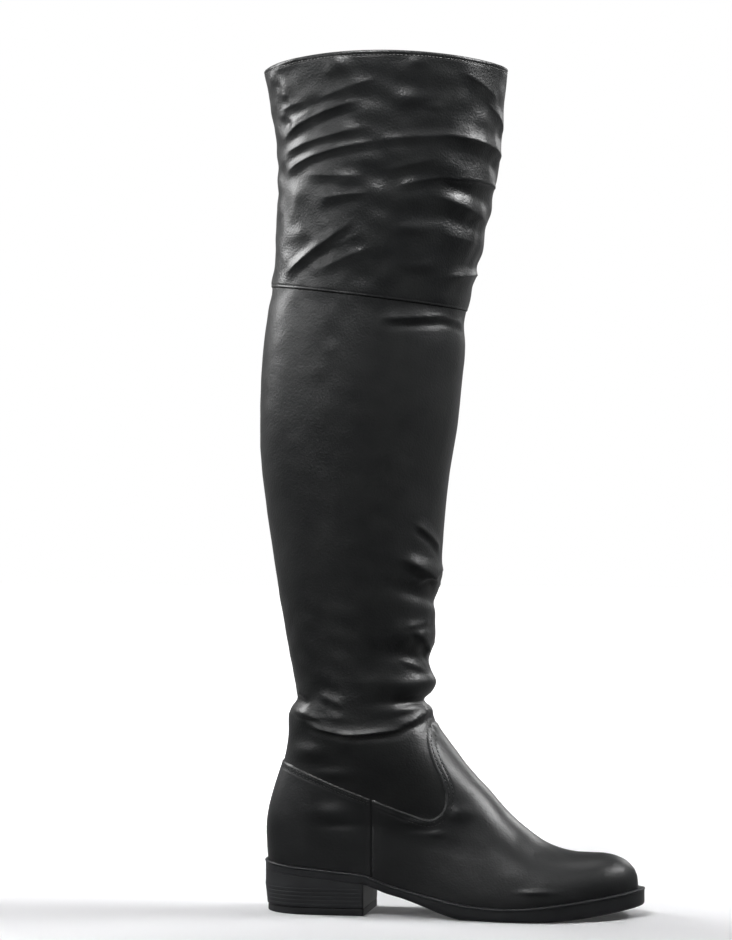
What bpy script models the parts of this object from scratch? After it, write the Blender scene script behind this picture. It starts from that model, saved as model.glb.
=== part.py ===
"""Thigh high boot for the right foot, standing on its heel and forefoot.

The frame: metres, +Z up, +X towards the toe, -Y on the outer (lateral) side of the foot.
The origin is the middle of the heel's ground face. Lengths along the foot are counted from
the back edge of the sole and moved to that origin when a mesh is made.
"""

import bpy
import bmesh
import numpy as np
from mathutils import Matrix, Vector

# Sole
SOLE_LENGTH = 0.266
BALL_WIDTH = 0.092
SOLE_TOP_BACK = 0.0358  # height of the sole's rim above the floor at the back of the heel
SOLE_EDGE = 0.0094  # thickness of the outsole's side at the ball
HEEL_LENGTH = 0.0745
HEEL_TAPER = 0.0014
TOP_LIFT = 0.0048
TOP_LIFT_EDGE = 0.0005  # the top lift's own step and rounded edge
STACK_LAYERS = 6
STACK_GROOVE = 0.0004
RIM_STEP = 0.0006  # the side of the sole steps in under its rim
RIM_HEIGHT = 0.0026
TREAD_INSET = 0.0022  # the tread's edge is rounded in by this much
TREAD_ROUND = 0.15  # and up to this share of the side

# Upper
ANKLE_HEIGHT = 0.137
COLLAR_HEIGHT = 0.587
COLLAR_RISE = 0.006  # the topline is higher on both sides than at front and back
ANKLE_DEPTH = 0.1016
CALF_DEPTH = 0.139
KNEE_DEPTH = 0.137
COLLAR_DEPTH = 0.170
SHAFT_AXIS = 0.075  # from the back of the sole
UPPER_WALL = 0.0018
OVERLAY = 0.0010  # thickness of the vamp, counter and cuff panels
HEEL_INSET = 0.0024  # the upper stands this far inside the sole's edge at the heel
BALL_INSET = 0.0042
TOE_INSET = 0.0057
KNEE_SEAM = 0.645  # share of the shaft's height, ankle to collar
SEAM_DROP = 0.017  # the knee seam is this much lower at the front
PANEL_GAP = 0.0005
GAP = 0.0003

# Insole
INSOLE_THICKNESS = 0.0035
INSOLE_PLAY = 0.0014  # between the insole's edge and the upper's wall

# Zip on the inner side
ZIP_TAPE_WIDTH = 0.0105
ZIP_COIL_WIDTH = 0.0046
ZIP_COIL_HEIGHT = 0.0011
ZIP_TAPE_THICKNESS = 0.0008
ZIP_TOP = 0.362
SLIDER_WIDTH = 0.0074
SLIDER_LENGTH = 0.0105
SLIDER_PLATE = 0.0012
SLIDER_CHAMFER = 0.0008
SLIDER_BELOW_TOP = 0.0079  # the slider's bail lies this far under the zip's top end
BAIL_WIDTH = 0.0018
BAIL_WALL = 0.0015
PULL_LENGTH = 0.026
PULL_WIDTH = 0.0062
PULL_THICKNESS = 0.0012
PULL_BAR = 0.0006  # half thickness of the pull's bar under the slider's bail
PULL_NECK = 0.0012  # the pull's plate starts this far below the bail
PULL_SHOULDER = 0.0006  # the plate is this much wider than its legs on each side
PLAY = 0.00045  # beside the bail, between the pull's legs

SEGMENTS = 36
FOOT_RINGS = 12
FOOT_SPREAD = 1.6  # the foot's loops lie closer together towards the sole
HEEL_BACK_POINTS = 3  # extra points where the heel's plan turns round its back
CUT_REACH = 0.6  # cutters run this far past what they cut

# Plan of the sole: share of its length, then the outer and inner half widths as shares of the ball width.
PLAN = np.array([
    (0.00, 0.326, 0.326),
    (0.15, 0.337, 0.332),
    (0.28, 0.337, 0.315),
    (0.40, 0.353, 0.288),
    (0.50, 0.402, 0.326),
    (0.60, 0.473, 0.424),
    (0.68, 0.505, 0.473),
    (0.76, 0.505, 0.484),
    (0.85, 0.467, 0.467),
    (1.00, 0.413, 0.435),
])
HEEL_CAP = 0.14  # share of the length over which the plan rounds off at the heel
HEEL_ROUND = 2.2
TOE_CAP = 0.30
TOE_POWER = 2.6
TOE_ROOT = 1.9
TOE_LEAN = 0.045  # the toe's tip lies towards the inner side, share of the ball width

# Height of the sole's rim: share of length, share of the height at the back.
RIM = np.array([
    (0.00, 1.000), (0.08, 0.936), (0.14, 0.902), (0.21, 0.850), (0.26, 0.816),
    (0.285, 0.785), (0.31, 0.718), (0.34, 0.632), (0.39, 0.530), (0.46, 0.408),
    (0.54, 0.300), (0.60, 0.262), (0.69, 0.264), (0.77, 0.318), (0.85, 0.394),
    (0.91, 0.458), (0.95, 0.505), (1.00, 0.560),
])
# Thickness of the sole's side: share of length, share of the thickness at the ball.
SIDE = np.array([
    (0.00, 0.64), (0.20, 0.64), (0.29, 0.72), (0.33, 0.72), (0.38, 0.70),
    (0.43, 0.82), (0.48, 1.02), (0.54, 1.15), (0.60, 1.03), (0.69, 1.04),
    (0.77, 1.20), (0.85, 1.28), (0.91, 1.28), (1.00, 1.24),
])

# Fullness of the foot's section: share of length, exponent of its dome.
FULLNESS = np.array([
    (0.00, 4.0), (0.20, 4.0), (0.32, 2.8), (0.45, 1.6), (0.60, 1.6), (0.78, 2.05), (0.95, 2.5), (1.00, 2.5),
])
LEVEL_TURN = 0.45  # from this level up, the foot's loops turn level for the ankle
SIDE_TURN = 0.35  # from this level up, their sides swing from the foot's width to the ankle's
ANKLE_CLIMB = 3.0  # slope of the instep's line behind the ankle's front
TOE_SLIDE = 1.15  # how the loops' front ends spread along the instep

# Back line of the heel above the rim: share of the ankle's height, setback as a share of the ankle's depth.
HEEL_BACK = np.array([
    (0.00, 0.006), (0.10, 0.000), (0.22, -0.006), (0.36, 0.012), (0.50, 0.050),
    (0.64, 0.096), (0.78, 0.130), (0.90, 0.142), (1.00, 0.145),
])
# Front line, toe to ankle: share of the way from the toe to the ankle, height above the rim as a share of the
# rise from the rim to the ankle.
INSTEP = np.array([
    (0.000, 0.000), (0.003, 0.045), (0.012, 0.088), (0.030, 0.124), (0.050, 0.150),
    (0.095, 0.186), (0.155, 0.213), (0.225, 0.228), (0.310, 0.247), (0.390, 0.280),
    (0.460, 0.325), (0.525, 0.386), (0.580, 0.440), (0.630, 0.497), (0.715, 0.608),
    (0.800, 0.705), (0.865, 0.786), (0.930, 0.872), (0.978, 0.945), (1.000, 1.000),
])

# Sections of the shaft: share of its height, the named depth that the section follows, the share of it, the
# share of the section that lies behind the axis, and its width over its depth.
SHAFT = (
    (0.000, ANKLE_DEPTH, 1.000, 0.571, 0.790),
    (0.035, ANKLE_DEPTH, 0.945, 0.560, 0.815),
    (0.096, ANKLE_DEPTH, 0.985, 0.576, 0.810),
    (0.173, CALF_DEPTH, 0.791, 0.582, 0.820),
    (0.236, CALF_DEPTH, 0.845, 0.583, 0.830),
    (0.307, CALF_DEPTH, 0.897, 0.589, 0.840),
    (0.387, CALF_DEPTH, 0.955, 0.586, 0.840),
    (0.464, CALF_DEPTH, 0.998, 0.564, 0.840),
    (0.529, CALF_DEPTH, 1.010, 0.548, 0.840),
    (0.589, CALF_DEPTH, 1.006, 0.529, 0.845),
    (0.629, KNEE_DEPTH, 0.993, 0.520, 0.860),
    (0.662, KNEE_DEPTH, 1.000, 0.499, 0.860),
    (0.722, KNEE_DEPTH, 1.038, 0.466, 0.850),
    (0.787, KNEE_DEPTH, 1.081, 0.440, 0.840),
    (0.864, COLLAR_DEPTH, 0.910, 0.421, 0.820),
    (0.942, COLLAR_DEPTH, 0.954, 0.430, 0.800),
    (1.000, COLLAR_DEPTH, 1.000, 0.440, 0.780),
)

# Main folds of the worn shaft: share of its height, direction round the leg in degrees (0 back, 90 inner side,
# 180 front, 270 outer side), half the stretch round the leg in degrees, half the height and the depth as
# shares of the ankle's depth, and how far the fold falls per turn as a share of the ankle's depth. A negative
# depth is a ridge.
FOLDS = (
    (0.022, 180, 105, 0.045, 0.062, 0.00),
    (0.052, 180, 115, 0.060, -0.034, 0.00),
    (0.022, 0, 70, 0.050, 0.030, 0.00),
    (0.092, 195, 65, 0.060, 0.030, 0.35),
    (0.128, 200, 70, 0.070, -0.026, 0.35),
    (0.188, 195, 62, 0.060, 0.034, 0.60),
    (0.232, 195, 60, 0.070, -0.022, 0.60),
    (0.712, 190, 60, 0.080, 0.022, 0.15),
    (0.772, 205, 85, 0.070, 0.026, 0.18),
    (0.822, 215, 90, 0.075, 0.022, 0.10),
)
FOLD_START = 0.03  # the folds grow over this share of the shaft above the ankle
RING_STEP = 0.048  # largest step between the shaft's loops, share of its height

# Edge of the vamp from the instep's top to the corner over the side seam, as lengths from the back of the sole
# over its length and heights over the ankle's height.
VAMP_EDGE = (
    (0.470, 0.985), (0.444, 0.935), (0.446, 0.865), (0.462, 0.775), (0.484, 0.690),
    (0.496, 0.625), (0.494, 0.560), (0.480, 0.515), (0.452, 0.492), (0.400, 0.520),
)
SIDE_SEAM = (0.302, 0.588)
COUNTER_EDGE = ((-0.100, 0.835), (0.045, 0.768), (0.130, 0.715), (0.228, 0.640), SIDE_SEAM)
# Run of the zip, from the waist of the sole up to the ankle.
ZIP_RUN = ((0.372, 0.262), (0.325, 0.425), (0.287, 0.600), (0.262, 0.790), (0.250, 1.000))
ZIP_SHAFT = 0.252

RUBBER = ("black_rubber", (0.018, 0.018, 0.020), 0.55, 0.0)
LEATHER = ("black_leather", (0.017, 0.018, 0.019), 0.38, 0.0)
OVERLAID = ("black_leather_panel", (0.017, 0.018, 0.019), 0.42, 0.0)
LINING = ("insole_lining", (0.10, 0.09, 0.08), 0.85, 0.0)
TAPE = ("zip_tape", (0.012, 0.012, 0.013), 0.75, 0.0)
METAL = ("dark_nickel", (0.09, 0.09, 0.095), 0.32, 1.0)


def smooth(rows, at, column=1):
    """A smooth curve through the rows of a table: cubic pieces whose slopes come from the neighbouring rows."""
    x, y = rows[:, 0], rows[:, column]
    slope = np.gradient(y, x)
    at = np.clip(np.asarray(at, float), x[0], x[-1])
    i = np.clip(np.searchsorted(x, at, side="right") - 1, 0, len(x) - 2)
    step = x[i + 1] - x[i]
    t = (at - x[i]) / step
    return (
        y[i] * (1 + 2 * t) * (1 - t) ** 2 + slope[i] * step * t * (1 - t) ** 2
        + y[i + 1] * t * t * (3 - 2 * t) - slope[i + 1] * step * t * t * (1 - t)
    )


def ease(t):
    """0 before 0, 1 after 1, and a soft S between them."""
    t = np.clip(t, 0, 1)
    return t * t * (3 - 2 * t)


def rim_height(share):
    return SOLE_TOP_BACK * smooth(RIM, share)


def tread_height(share):
    """Underside of the outsole: the rim less the side's thickness, flat on the floor under the ball."""
    return np.maximum(rim_height(share) - SOLE_EDGE * smooth(SIDE, share), 0)


def centre_line(share):
    return BALL_WIDTH * TOE_LEAN * ease((np.asarray(share) - 0.5) / 0.5)


def half_width(share, inner, inset=0.0):
    """Half width of the plan on one side: the table's side line, rounded off at the heel and the toe."""
    column = np.where(inner, smooth(PLAN, share, 2), smooth(PLAN, share, 1))
    heel = np.clip(1 - share / HEEL_CAP, 0, 1)
    toe = np.clip((share - 1 + TOE_CAP) / TOE_CAP, 0, 1)
    ends = (1 - heel ** HEEL_ROUND) ** (1 / HEEL_ROUND) * (1 - toe ** TOE_POWER) ** (1 / TOE_ROOT)
    return (BALL_WIDTH * column - inset) * ends


def round_angles():
    return np.arange(SEGMENTS) * 2 * np.pi / SEGMENTS


def round_shares():
    """For each point of a loop: its share of the way from back to front, and whether it is on the inner side."""
    angles = round_angles()
    return (1 - np.cos(angles)) / 2, np.sin(angles) > 0


def shaft_section(height):
    """Depth, share behind the axis and width of the section at a share of the shaft's height."""
    rows = np.array([(h, named * part, behind, named * part * over) for h, named, part, behind, over in SHAFT])
    return smooth(rows, height, 1), smooth(rows, height, 2), smooth(rows, height, 3)


def shaft_ring(height, angles):
    """One loop of the shaft: an oval whose plane tips down at the front near the knee seam."""
    depth, behind, width = shaft_section(height)
    level = ANKLE_HEIGHT + height * (COLLAR_HEIGHT - ANKLE_HEIGHT)
    middle = SHAFT_AXIS + depth * (0.5 - behind)
    radial = fold_depth(height, angles)
    along = -np.cos(angles)
    across = np.sin(angles)
    x = middle + (depth / 2 + radial) * along
    y = (width / 2 + radial) * across
    tip = ease(height / KNEE_SEAM) if height < KNEE_SEAM else ease((1 - height) / (1 - KNEE_SEAM))
    z = level - SEAM_DROP * tip * along / 2 + COLLAR_RISE * across ** 2 * ease((height - 0.8) / 0.2)
    return np.stack([x, y, z], axis=-1)


def fold_depth(height, angles):
    """How far the folds push the wall outwards: each one a soft trough or ridge round part of the leg."""
    push = np.zeros_like(angles)
    span = COLLAR_HEIGHT - ANKLE_HEIGHT
    for at, towards, reach, half_height, depth, fall in FOLDS:
        turn = (np.degrees(angles) - towards + 180) % 360 - 180
        middle = at * span + fall * ANKLE_DEPTH * turn / 360
        away = (height * span - middle) / (half_height * ANKLE_DEPTH)
        push -= depth * ANKLE_DEPTH * np.exp(-away ** 2) * ease(1 - np.abs(turn) / reach)
    return push * ease(height / FOLD_START)


def upper_inset(share):
    """How far inside the sole's edge the upper's foot stands."""
    return HEEL_INSET + (BALL_INSET - HEEL_INSET) * ease((share - 0.3) / 0.3)


def foot_ring(level):
    """One loop of the foot, from the rim (level 0) to the ankle (level 1): its back slides up the heel and its
    front slides from the toe up the instep, and between them the wall domes over from the plan's width."""
    ankle_back, ankle_front = shaft_ring(0.0, np.array([0.0, np.pi]))[:, 0]
    toe = SOLE_LENGTH - TOE_INSET
    back_top = ANKLE_HEIGHT - SOLE_TOP_BACK
    ridge_top = ANKLE_HEIGHT - rim_height(ankle_front / SOLE_LENGTH)
    back = HEEL_INSET + (ankle_back - HEEL_INSET) * smooth(HEEL_BACK, level) / HEEL_BACK[-1, 1]
    way = level ** TOE_SLIDE
    front = toe + (ankle_front - toe) * way
    front_top = ridge_top * smooth(INSTEP, way)

    share, inner = round_shares()
    x = back + share * (front - back)
    below = x - (back - HEEL_INSET) * (1 - share) ** 3
    plan = np.clip((below - HEEL_INSET) / (toe - HEEL_INSET), 0, 1)
    ridge = ridge_top * smooth(INSTEP, np.clip((toe - x) / (toe - ankle_front), 0, 1))
    ridge += np.maximum(ankle_front - x, 0) * ANKLE_CLIMB
    above = np.minimum(back_top * level + share * (front_top - back_top * level), ridge)

    domed = rim_height(below / SOLE_LENGTH) + GAP + above
    back_height = SOLE_TOP_BACK + GAP + back_top * level
    front_height = rim_height(front / SOLE_LENGTH) + front_top
    flat = ease((level - LEVEL_TURN) / (1 - LEVEL_TURN))
    z = (1 - flat) * domed + flat * ((1 - share) * back_height + share * front_height)

    high = np.clip(above / np.maximum(ridge, GAP), 0, 1)
    dome = np.sqrt(np.maximum(1 - high ** smooth(FULLNESS, plan), 0))
    foot = half_width(plan, inner, upper_inset(plan)) * dome
    leg = shaft_section(0.0)[2] / 2 * np.abs(np.sin(round_angles()))
    blend = ease((level - SIDE_TURN) / (1 - SIDE_TURN))
    side = (1 - blend) * foot + blend * leg
    y = centre_line(plan) * (1 - blend) + np.where(inner, side, -side)
    return np.stack([x, y, z], axis=-1)


def pushed_out(rings, offset):
    """The loops moved along the surface's normal, from the differences between neighbouring points."""
    round_way = np.roll(rings, -1, axis=1) - np.roll(rings, 1, axis=1)
    up = np.gradient(rings, axis=0)
    normal = np.cross(round_way, up)
    normal /= np.maximum(np.linalg.norm(normal, axis=2, keepdims=True), 1e-9)
    moved = rings - normal * offset
    moved[0, :, 2] = rings[0, :, 2]
    moved[-1, :, 2] = rings[-1, :, 2]
    return moved


def shaft_heights():
    """Shares of the shaft's height that get a loop: the folds' middles, the knee seam and both ends, with
    even steps of at most RING_STEP between them."""
    fixed = {0.0, KNEE_SEAM, 1.0}
    kept = [0.0]
    for height in sorted(fixed | {fold[0] for fold in FOLDS}):
        gap = height - kept[-1]
        if gap < RING_STEP / 4:
            kept[-1] = height if height in fixed else kept[-1]
            continue
        steps = int(np.ceil(gap / RING_STEP))
        kept += [kept[-1] + gap * n / steps for n in range(1, steps)] + [height]
    return kept


def upper_rings():
    """All loops of the upper's outer face, and how many of them belong to the foot."""
    foot = [foot_ring(level) for level in np.linspace(0, 1, FOOT_RINGS)[:-1] ** FOOT_SPREAD]
    shaft = [shaft_ring(height, round_angles()) for height in shaft_heights()]
    return np.array(foot + shaft), len(foot)


def new_material(name, colour, roughness, metallic):
    made = bpy.data.materials.get(name) or bpy.data.materials.new(name)
    made.use_nodes = True
    surface = made.node_tree.nodes["Principled BSDF"]
    surface.inputs["Base Color"].default_value = (*colour, 1)
    surface.inputs["Roughness"].default_value = roughness
    surface.inputs["Metallic"].default_value = metallic
    return made


def add_object(name, points, faces, finish):
    """An object from points counted from the back of the sole, moved to the frame's origin."""
    points = np.array(points, float).reshape(-1, 3) - (HEEL_LENGTH / 2, 0, 0)
    mesh = bpy.data.meshes.new(name)
    mesh.from_pydata(points.tolist(), [], [list(map(int, f)) for f in faces])
    made = bpy.data.objects.new(name, mesh)
    bpy.context.scene.collection.objects.link(made)
    tidy = bmesh.new()
    tidy.from_mesh(mesh)
    bmesh.ops.remove_doubles(tidy, verts=tidy.verts, dist=1e-6)
    bmesh.ops.recalc_face_normals(tidy, faces=tidy.faces)
    tidy.to_mesh(mesh)
    tidy.free()
    mesh.shade_smooth()
    mesh.set_sharp_from_angle(angle=0.6)
    if finish:
        mesh.materials.append(new_material(*finish))
    return made


def band_faces(rows, columns, start=0):
    """Triangles between stacked loops, with the same diagonals on every layer, so that layers never cross."""
    faces = []
    for i in range(rows - 1):
        for j in range(columns):
            k = (j + 1) % columns
            a = start + i * columns
            b = a + columns
            faces += [(a + j, a + k, b + k), (a + j, b + k, b + j)]
    return faces


def tube_solid(name, outer, inner, finish):
    """A hollow wall between two stacks of loops, closed by a rim at each end."""
    rows, columns, _ = outer.shape
    points = np.concatenate([outer.reshape(-1, 3), inner.reshape(-1, 3)])
    half = rows * columns
    faces = band_faces(rows, columns) + [f[::-1] for f in band_faces(rows, columns, half)]
    for row in (0, rows - 1):
        for j in range(columns):
            k = (j + 1) % columns
            rim = (row * columns + j, row * columns + k, half + row * columns + k, half + row * columns + j)
            faces.append(rim[::-1] if row == 0 else rim)
    return add_object(name, points, faces, finish)


def lid_faces(start, columns, downward):
    """Closes a loop that is laid out evenly round the foot, by strips from side to side."""
    faces = []
    half = columns // 2
    for j in range(half):
        a, b = j, j + 1
        c, d = (columns - b) % columns, (columns - a) % columns
        corners = list(dict.fromkeys((start + a, start + b, start + c, start + d)))
        faces.append(corners[::-1] if downward else corners)
    return faces


def stacked_solid(name, loops, finish):
    """A solid from loops stacked bottom to top, with a lid at each end."""
    rows, columns, _ = loops.shape
    faces = band_faces(rows, columns)
    faces += lid_faces(0, columns, True) + lid_faces((rows - 1) * columns, columns, False)
    return add_object(name, loops, faces, finish)


def prism(name, outline, near, far):
    """A cutter: an outline in the side view, extruded across the foot from near to far."""
    count = len(outline)
    points = [(x, near, z) for x, z in outline] + [(x, far, z) for x, z in outline]
    faces = [tuple(range(count)), tuple(range(2 * count - 1, count - 1, -1))]
    faces += [(i, (i + 1) % count, count + (i + 1) % count, count + i) for i in range(count)]
    cutter = add_object(name, points, faces, None)
    cutter.hide_render = True
    cutter.display_type = "WIRE"
    return cutter


def cut(target, cutter, operation="DIFFERENCE", solver="EXACT"):
    modifier = target.modifiers.new(cutter.name, "BOOLEAN")
    modifier.solver = solver
    modifier.operation = operation
    modifier.object = cutter


def side_points(rows):
    return [(x * SOLE_LENGTH, z * ANKLE_HEIGHT) for x, z in rows]


def zip_line():
    """Middle of the zip in the side view, from the waist up to its top end."""
    run = np.array(side_points(ZIP_RUN))
    heights = np.linspace(run[0, 1], ANKLE_HEIGHT, 9)
    low = [(float(smooth(run[:, ::-1], z)), z) for z in heights]
    climb = np.linspace(ANKLE_HEIGHT, ZIP_TOP, 8)[1:]
    return np.array(low + [(ZIP_SHAFT * SOLE_LENGTH, z) for z in climb])


def zip_band(half, shorten=0.0):
    """Outline of a band along the zip: its line moved to both sides by half its width."""
    line = zip_line()
    along = np.gradient(line, axis=0)
    along /= np.linalg.norm(along, axis=1, keepdims=True)
    side = np.stack([-along[:, 1], along[:, 0]], axis=1) * half
    line[0] += along[0] * shorten
    line[-1] -= along[-1] * shorten
    return [tuple(p) for p in line + side] + [tuple(p) for p in (line - side)[::-1]]


def sole_loop(inset, side_share, lowered=0.0):
    """One loop round the outsole, at a share of its side's height (0 the tread, 1 the rim) less a length."""
    share, inner = round_shares()
    x = inset + share * (SOLE_LENGTH - 2 * inset)
    top, tread = rim_height(x / SOLE_LENGTH), tread_height(x / SOLE_LENGTH)
    side = half_width(share, inner, inset)
    height = tread + side_share * (top - tread) - lowered
    return np.stack([x, centre_line(share) + np.where(inner, side, -side), height], axis=-1)


def make_outsole():
    stacked_solid("outsole", np.array([
        sole_loop(TREAD_INSET, 0),
        sole_loop(RIM_STEP, TREAD_ROUND),
        sole_loop(RIM_STEP, 1, RIM_HEIGHT),
        sole_loop(0, 1, RIM_HEIGHT - RIM_STEP),
        sole_loop(0, 1, RIM_STEP),
        sole_loop(RIM_STEP, 1),
    ]), RUBBER)


def tread_stations():
    """Lengths at which the outsole's underside has its points, from the back to the toe."""
    return sole_loop(TREAD_INSET, 0)[: SEGMENTS // 2 + 1, 0]


def under_sole(x):
    """Height of the outsole's underside as built, straight between its stations."""
    stations = tread_stations()
    return np.interp(x, stations, tread_height(stations / SOLE_LENGTH))


def heel_outline(inset, height):
    """D-shaped loop of the heel from the inner breast corner round the back to the outer one. The height is
    one level, or None for the underside of the outsole."""
    stations = tread_stations()
    kept = stations[(stations > 2 * TREAD_INSET) & (stations < HEEL_LENGTH)]
    turn = inset + (kept[0] - inset) * (np.arange(1, HEEL_BACK_POINTS + 1) / (HEEL_BACK_POINTS + 1)) ** 2
    x = np.concatenate([[inset], turn, kept, [HEEL_LENGTH]])[::-1]
    share = (x - inset) / SOLE_LENGTH
    inner = np.maximum(half_width(share, True) - inset, 0)
    outer = np.maximum(half_width(share, False) - inset, 0)
    path = np.concatenate([np.stack([x, inner], axis=-1), np.stack([x, -outer], axis=-1)[::-1][1:]])
    level = under_sole(path[:, 0]) - GAP if height is None else np.full(len(path), height)
    return np.column_stack([path, level])


def heel_solid(name, loops, finish):
    """A solid from D-shaped loops: walls between them and a strip lid at each end."""
    loops = np.array(loops)
    rows, columns, _ = loops.shape
    faces = band_faces(rows, columns)
    for row, downward in ((0, True), (rows - 1, False)):
        start = row * columns
        for j in range(columns // 2):
            corners = (start + j, start + j + 1, start + columns - 2 - j, start + columns - 1 - j)
            corners = tuple(dict.fromkeys(corners))
            faces.append(corners[::-1] if downward else corners)
    return add_object(name, loops, faces, finish)


def make_heel():
    """The stacked block: level layers with a groove between each two, up to the outsole's underside."""
    bottom = TOP_LIFT + GAP
    layer = (under_sole(HEEL_LENGTH) - GAP - bottom) / STACK_LAYERS
    loops = [heel_outline(HEEL_TAPER, bottom)]
    for n in range(1, STACK_LAYERS):
        inset = HEEL_TAPER * (1 - n / STACK_LAYERS)
        for rise, deeper in ((-STACK_GROOVE, 0), (0, STACK_GROOVE), (STACK_GROOVE, 0)):
            loops.append(heel_outline(inset + deeper, bottom + n * layer + rise))
    loops.append(heel_outline(0.0, None))
    heel_solid("heel", loops, RUBBER)


def make_top_lift():
    heel_solid("top_lift", [
        heel_outline(HEEL_TAPER + 2 * TOP_LIFT_EDGE, 0.0),
        heel_outline(HEEL_TAPER + TOP_LIFT_EDGE, TOP_LIFT_EDGE),
        heel_outline(HEEL_TAPER + TOP_LIFT_EDGE, TOP_LIFT),
    ], RUBBER)


def make_insole():
    """Footbed inside the upper's wall, lying on the outsole."""
    share, inner = round_shares()
    clear = UPPER_WALL + INSOLE_PLAY
    back = HEEL_INSET + clear
    toe = SOLE_LENGTH - TOE_INSET - clear
    x = back + share * (toe - back)
    side = half_width(share, inner, upper_inset(share)) - clear * np.sqrt(np.abs(np.sin(round_angles())))
    side = np.maximum(side, 0)
    y = centre_line(share) + np.where(inner, side, -side)
    low = rim_height(x / SOLE_LENGTH) + GAP
    loops = [np.stack([x, y, low + rise], axis=-1) for rise in (0, INSOLE_THICKNESS)]
    stacked_solid("insole", np.array(loops), LINING)


def make_upper(rings):
    """The leg and foot as one wall, with a slot for the zip on the inner side."""
    upper = tube_solid("upper", rings, pushed_out(rings, -UPPER_WALL), LEATHER)
    cut(upper, prism("zip_slot", zip_band(ZIP_TAPE_WIDTH / 2 + GAP, -GAP), UPPER_WALL, CUT_REACH))


def panel_edges():
    """Seams of the foot's panels in the side view: the vamp's edge, the counter's top edge, the side seam's
    top, the zip's rear and front sides below it, and the start of the short seam under the zip."""
    edge, top = side_points(VAMP_EDGE), side_points(COUNTER_EDGE)
    seam = side_points([SIDE_SEAM])[0]
    clear = ZIP_TAPE_WIDTH / 2 + GAP + PANEL_GAP
    band = zip_band(clear)
    half = len(band) // 2
    rear = [p for p in band[:half] if p[1] < seam[1]]
    fore = [p for p in band[half:] if p[1] < seam[1]]
    return edge, top[:-1], seam, rear[::-1], fore, zip_line()[0] - (0, 2 * clear)


def make_vamp(outer, inner):
    edge, _, seam, _, fore, below = panel_edges()
    vamp = tube_solid("vamp", outer, inner, OVERLAID)
    around = [(-CUT_REACH, -CUT_REACH), (-CUT_REACH, CUT_REACH), (edge[0][0], CUT_REACH)]
    x = seam[0] + PANEL_GAP / 2
    outline = edge + [(x, seam[1]), (x, -CUT_REACH)] + around
    cut(vamp, prism("vamp_outer_cut", outline, -CUT_REACH, GAP), solver="MANIFOLD")
    x = below[0] + PANEL_GAP / 2
    outline = edge + fore + [(x, below[1]), (x, -CUT_REACH)] + around
    cut(vamp, prism("vamp_inner_cut", outline, -GAP, CUT_REACH), solver="MANIFOLD")


def make_counter(outer, inner):
    _, top, seam, rear, _, below = panel_edges()
    counter = tube_solid("counter", outer, inner, OVERLAID)
    around = [(CUT_REACH, -CUT_REACH), (CUT_REACH, CUT_REACH), (-CUT_REACH, CUT_REACH), (-CUT_REACH, top[0][1])]
    x = seam[0] - PANEL_GAP / 2
    outline = top + [(x, seam[1]), (x, -CUT_REACH)] + around
    cut(counter, prism("counter_outer_cut", outline, -CUT_REACH, GAP), solver="MANIFOLD")
    x = below[0] - PANEL_GAP / 2
    outline = top + rear + [(x, below[1]), (x, -CUT_REACH)] + around
    cut(counter, prism("counter_inner_cut", outline, -GAP, CUT_REACH), solver="MANIFOLD")


def make_panels(rings, foot_rows):
    """Vamp and counter from one shell over the foot, and the cuff from the knee seam to the collar."""
    foot = rings[: foot_rows + 1]
    outer, inner = pushed_out(foot, GAP + OVERLAY), pushed_out(foot, GAP)
    make_vamp(outer, inner)
    make_counter(outer, inner)
    knee = rings[foot_rows + shaft_heights().index(KNEE_SEAM):]
    tube_solid("cuff", pushed_out(knee, GAP + OVERLAY), pushed_out(knee, GAP), LEATHER)


def make_zip(rings):
    """Tape in the upper's slot and the closed coil on it, both following the wall."""
    tape = tube_solid("zip_tape", pushed_out(rings, -GAP), pushed_out(rings, -GAP - ZIP_TAPE_THICKNESS), TAPE)
    cut(tape, prism("zip_tape_band", zip_band(ZIP_TAPE_WIDTH / 2), UPPER_WALL, CUT_REACH), "INTERSECT")
    coil = tube_solid("zip_coil", pushed_out(rings, ZIP_COIL_HEIGHT), rings, TAPE)
    cut(coil, prism("zip_coil_band", zip_band(ZIP_COIL_WIDTH / 2, GAP), UPPER_WALL, CUT_REACH), "INTERSECT")


def zip_surface(height):
    """How far out the wall's outer face lies at the zip, and its slope away from the vertical there."""
    span = COLLAR_HEIGHT - ANKLE_HEIGHT
    share = (height - ANKLE_HEIGHT) / span
    lower, upper = (shaft_section(s)[2] / 2 for s in (share - RING_STEP / 2, share + RING_STEP / 2))
    return (lower + upper) / 2, np.arctan2(upper - lower, RING_STEP * span)


def box_mesh(low, high):
    """A box between two corners."""
    made = bmesh.new()
    low, high = Vector(low), Vector(high)
    size = Matrix.Diagonal((*(high - low), 1))
    bmesh.ops.create_cube(made, size=1, matrix=Matrix.Translation((low + high) / 2) @ size)
    return made


def bar_mesh(outline, half):
    """A bar as wide as twice half, whose outline lies in the plane of (outwards, up)."""
    made = bmesh.new()
    front = [made.verts.new((-half, y, z)) for y, z in outline]
    back = [made.verts.new((half, y, z)) for y, z in outline]
    made.faces.new(front)
    made.faces.new(back[::-1])
    for i in range(len(outline)):
        k = (i + 1) % len(outline)
        made.faces.new((front[k], front[i], back[i], back[k]))
    bmesh.ops.recalc_face_normals(made, faces=made.faces)
    return made


def add_metal(name, made, place, guide=False):
    mesh = bpy.data.meshes.new(name)
    made.to_mesh(mesh)
    made.free()
    mesh.shade_smooth()
    mesh.set_sharp_from_angle(angle=0.6)
    mesh.materials.append(new_material(*METAL))
    thing = bpy.data.objects.new(name, mesh)
    bpy.context.scene.collection.objects.link(thing)
    thing.matrix_world = place
    if guide:
        thing.hide_render = True
        thing.display_type = "WIRE"
    return thing


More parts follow.
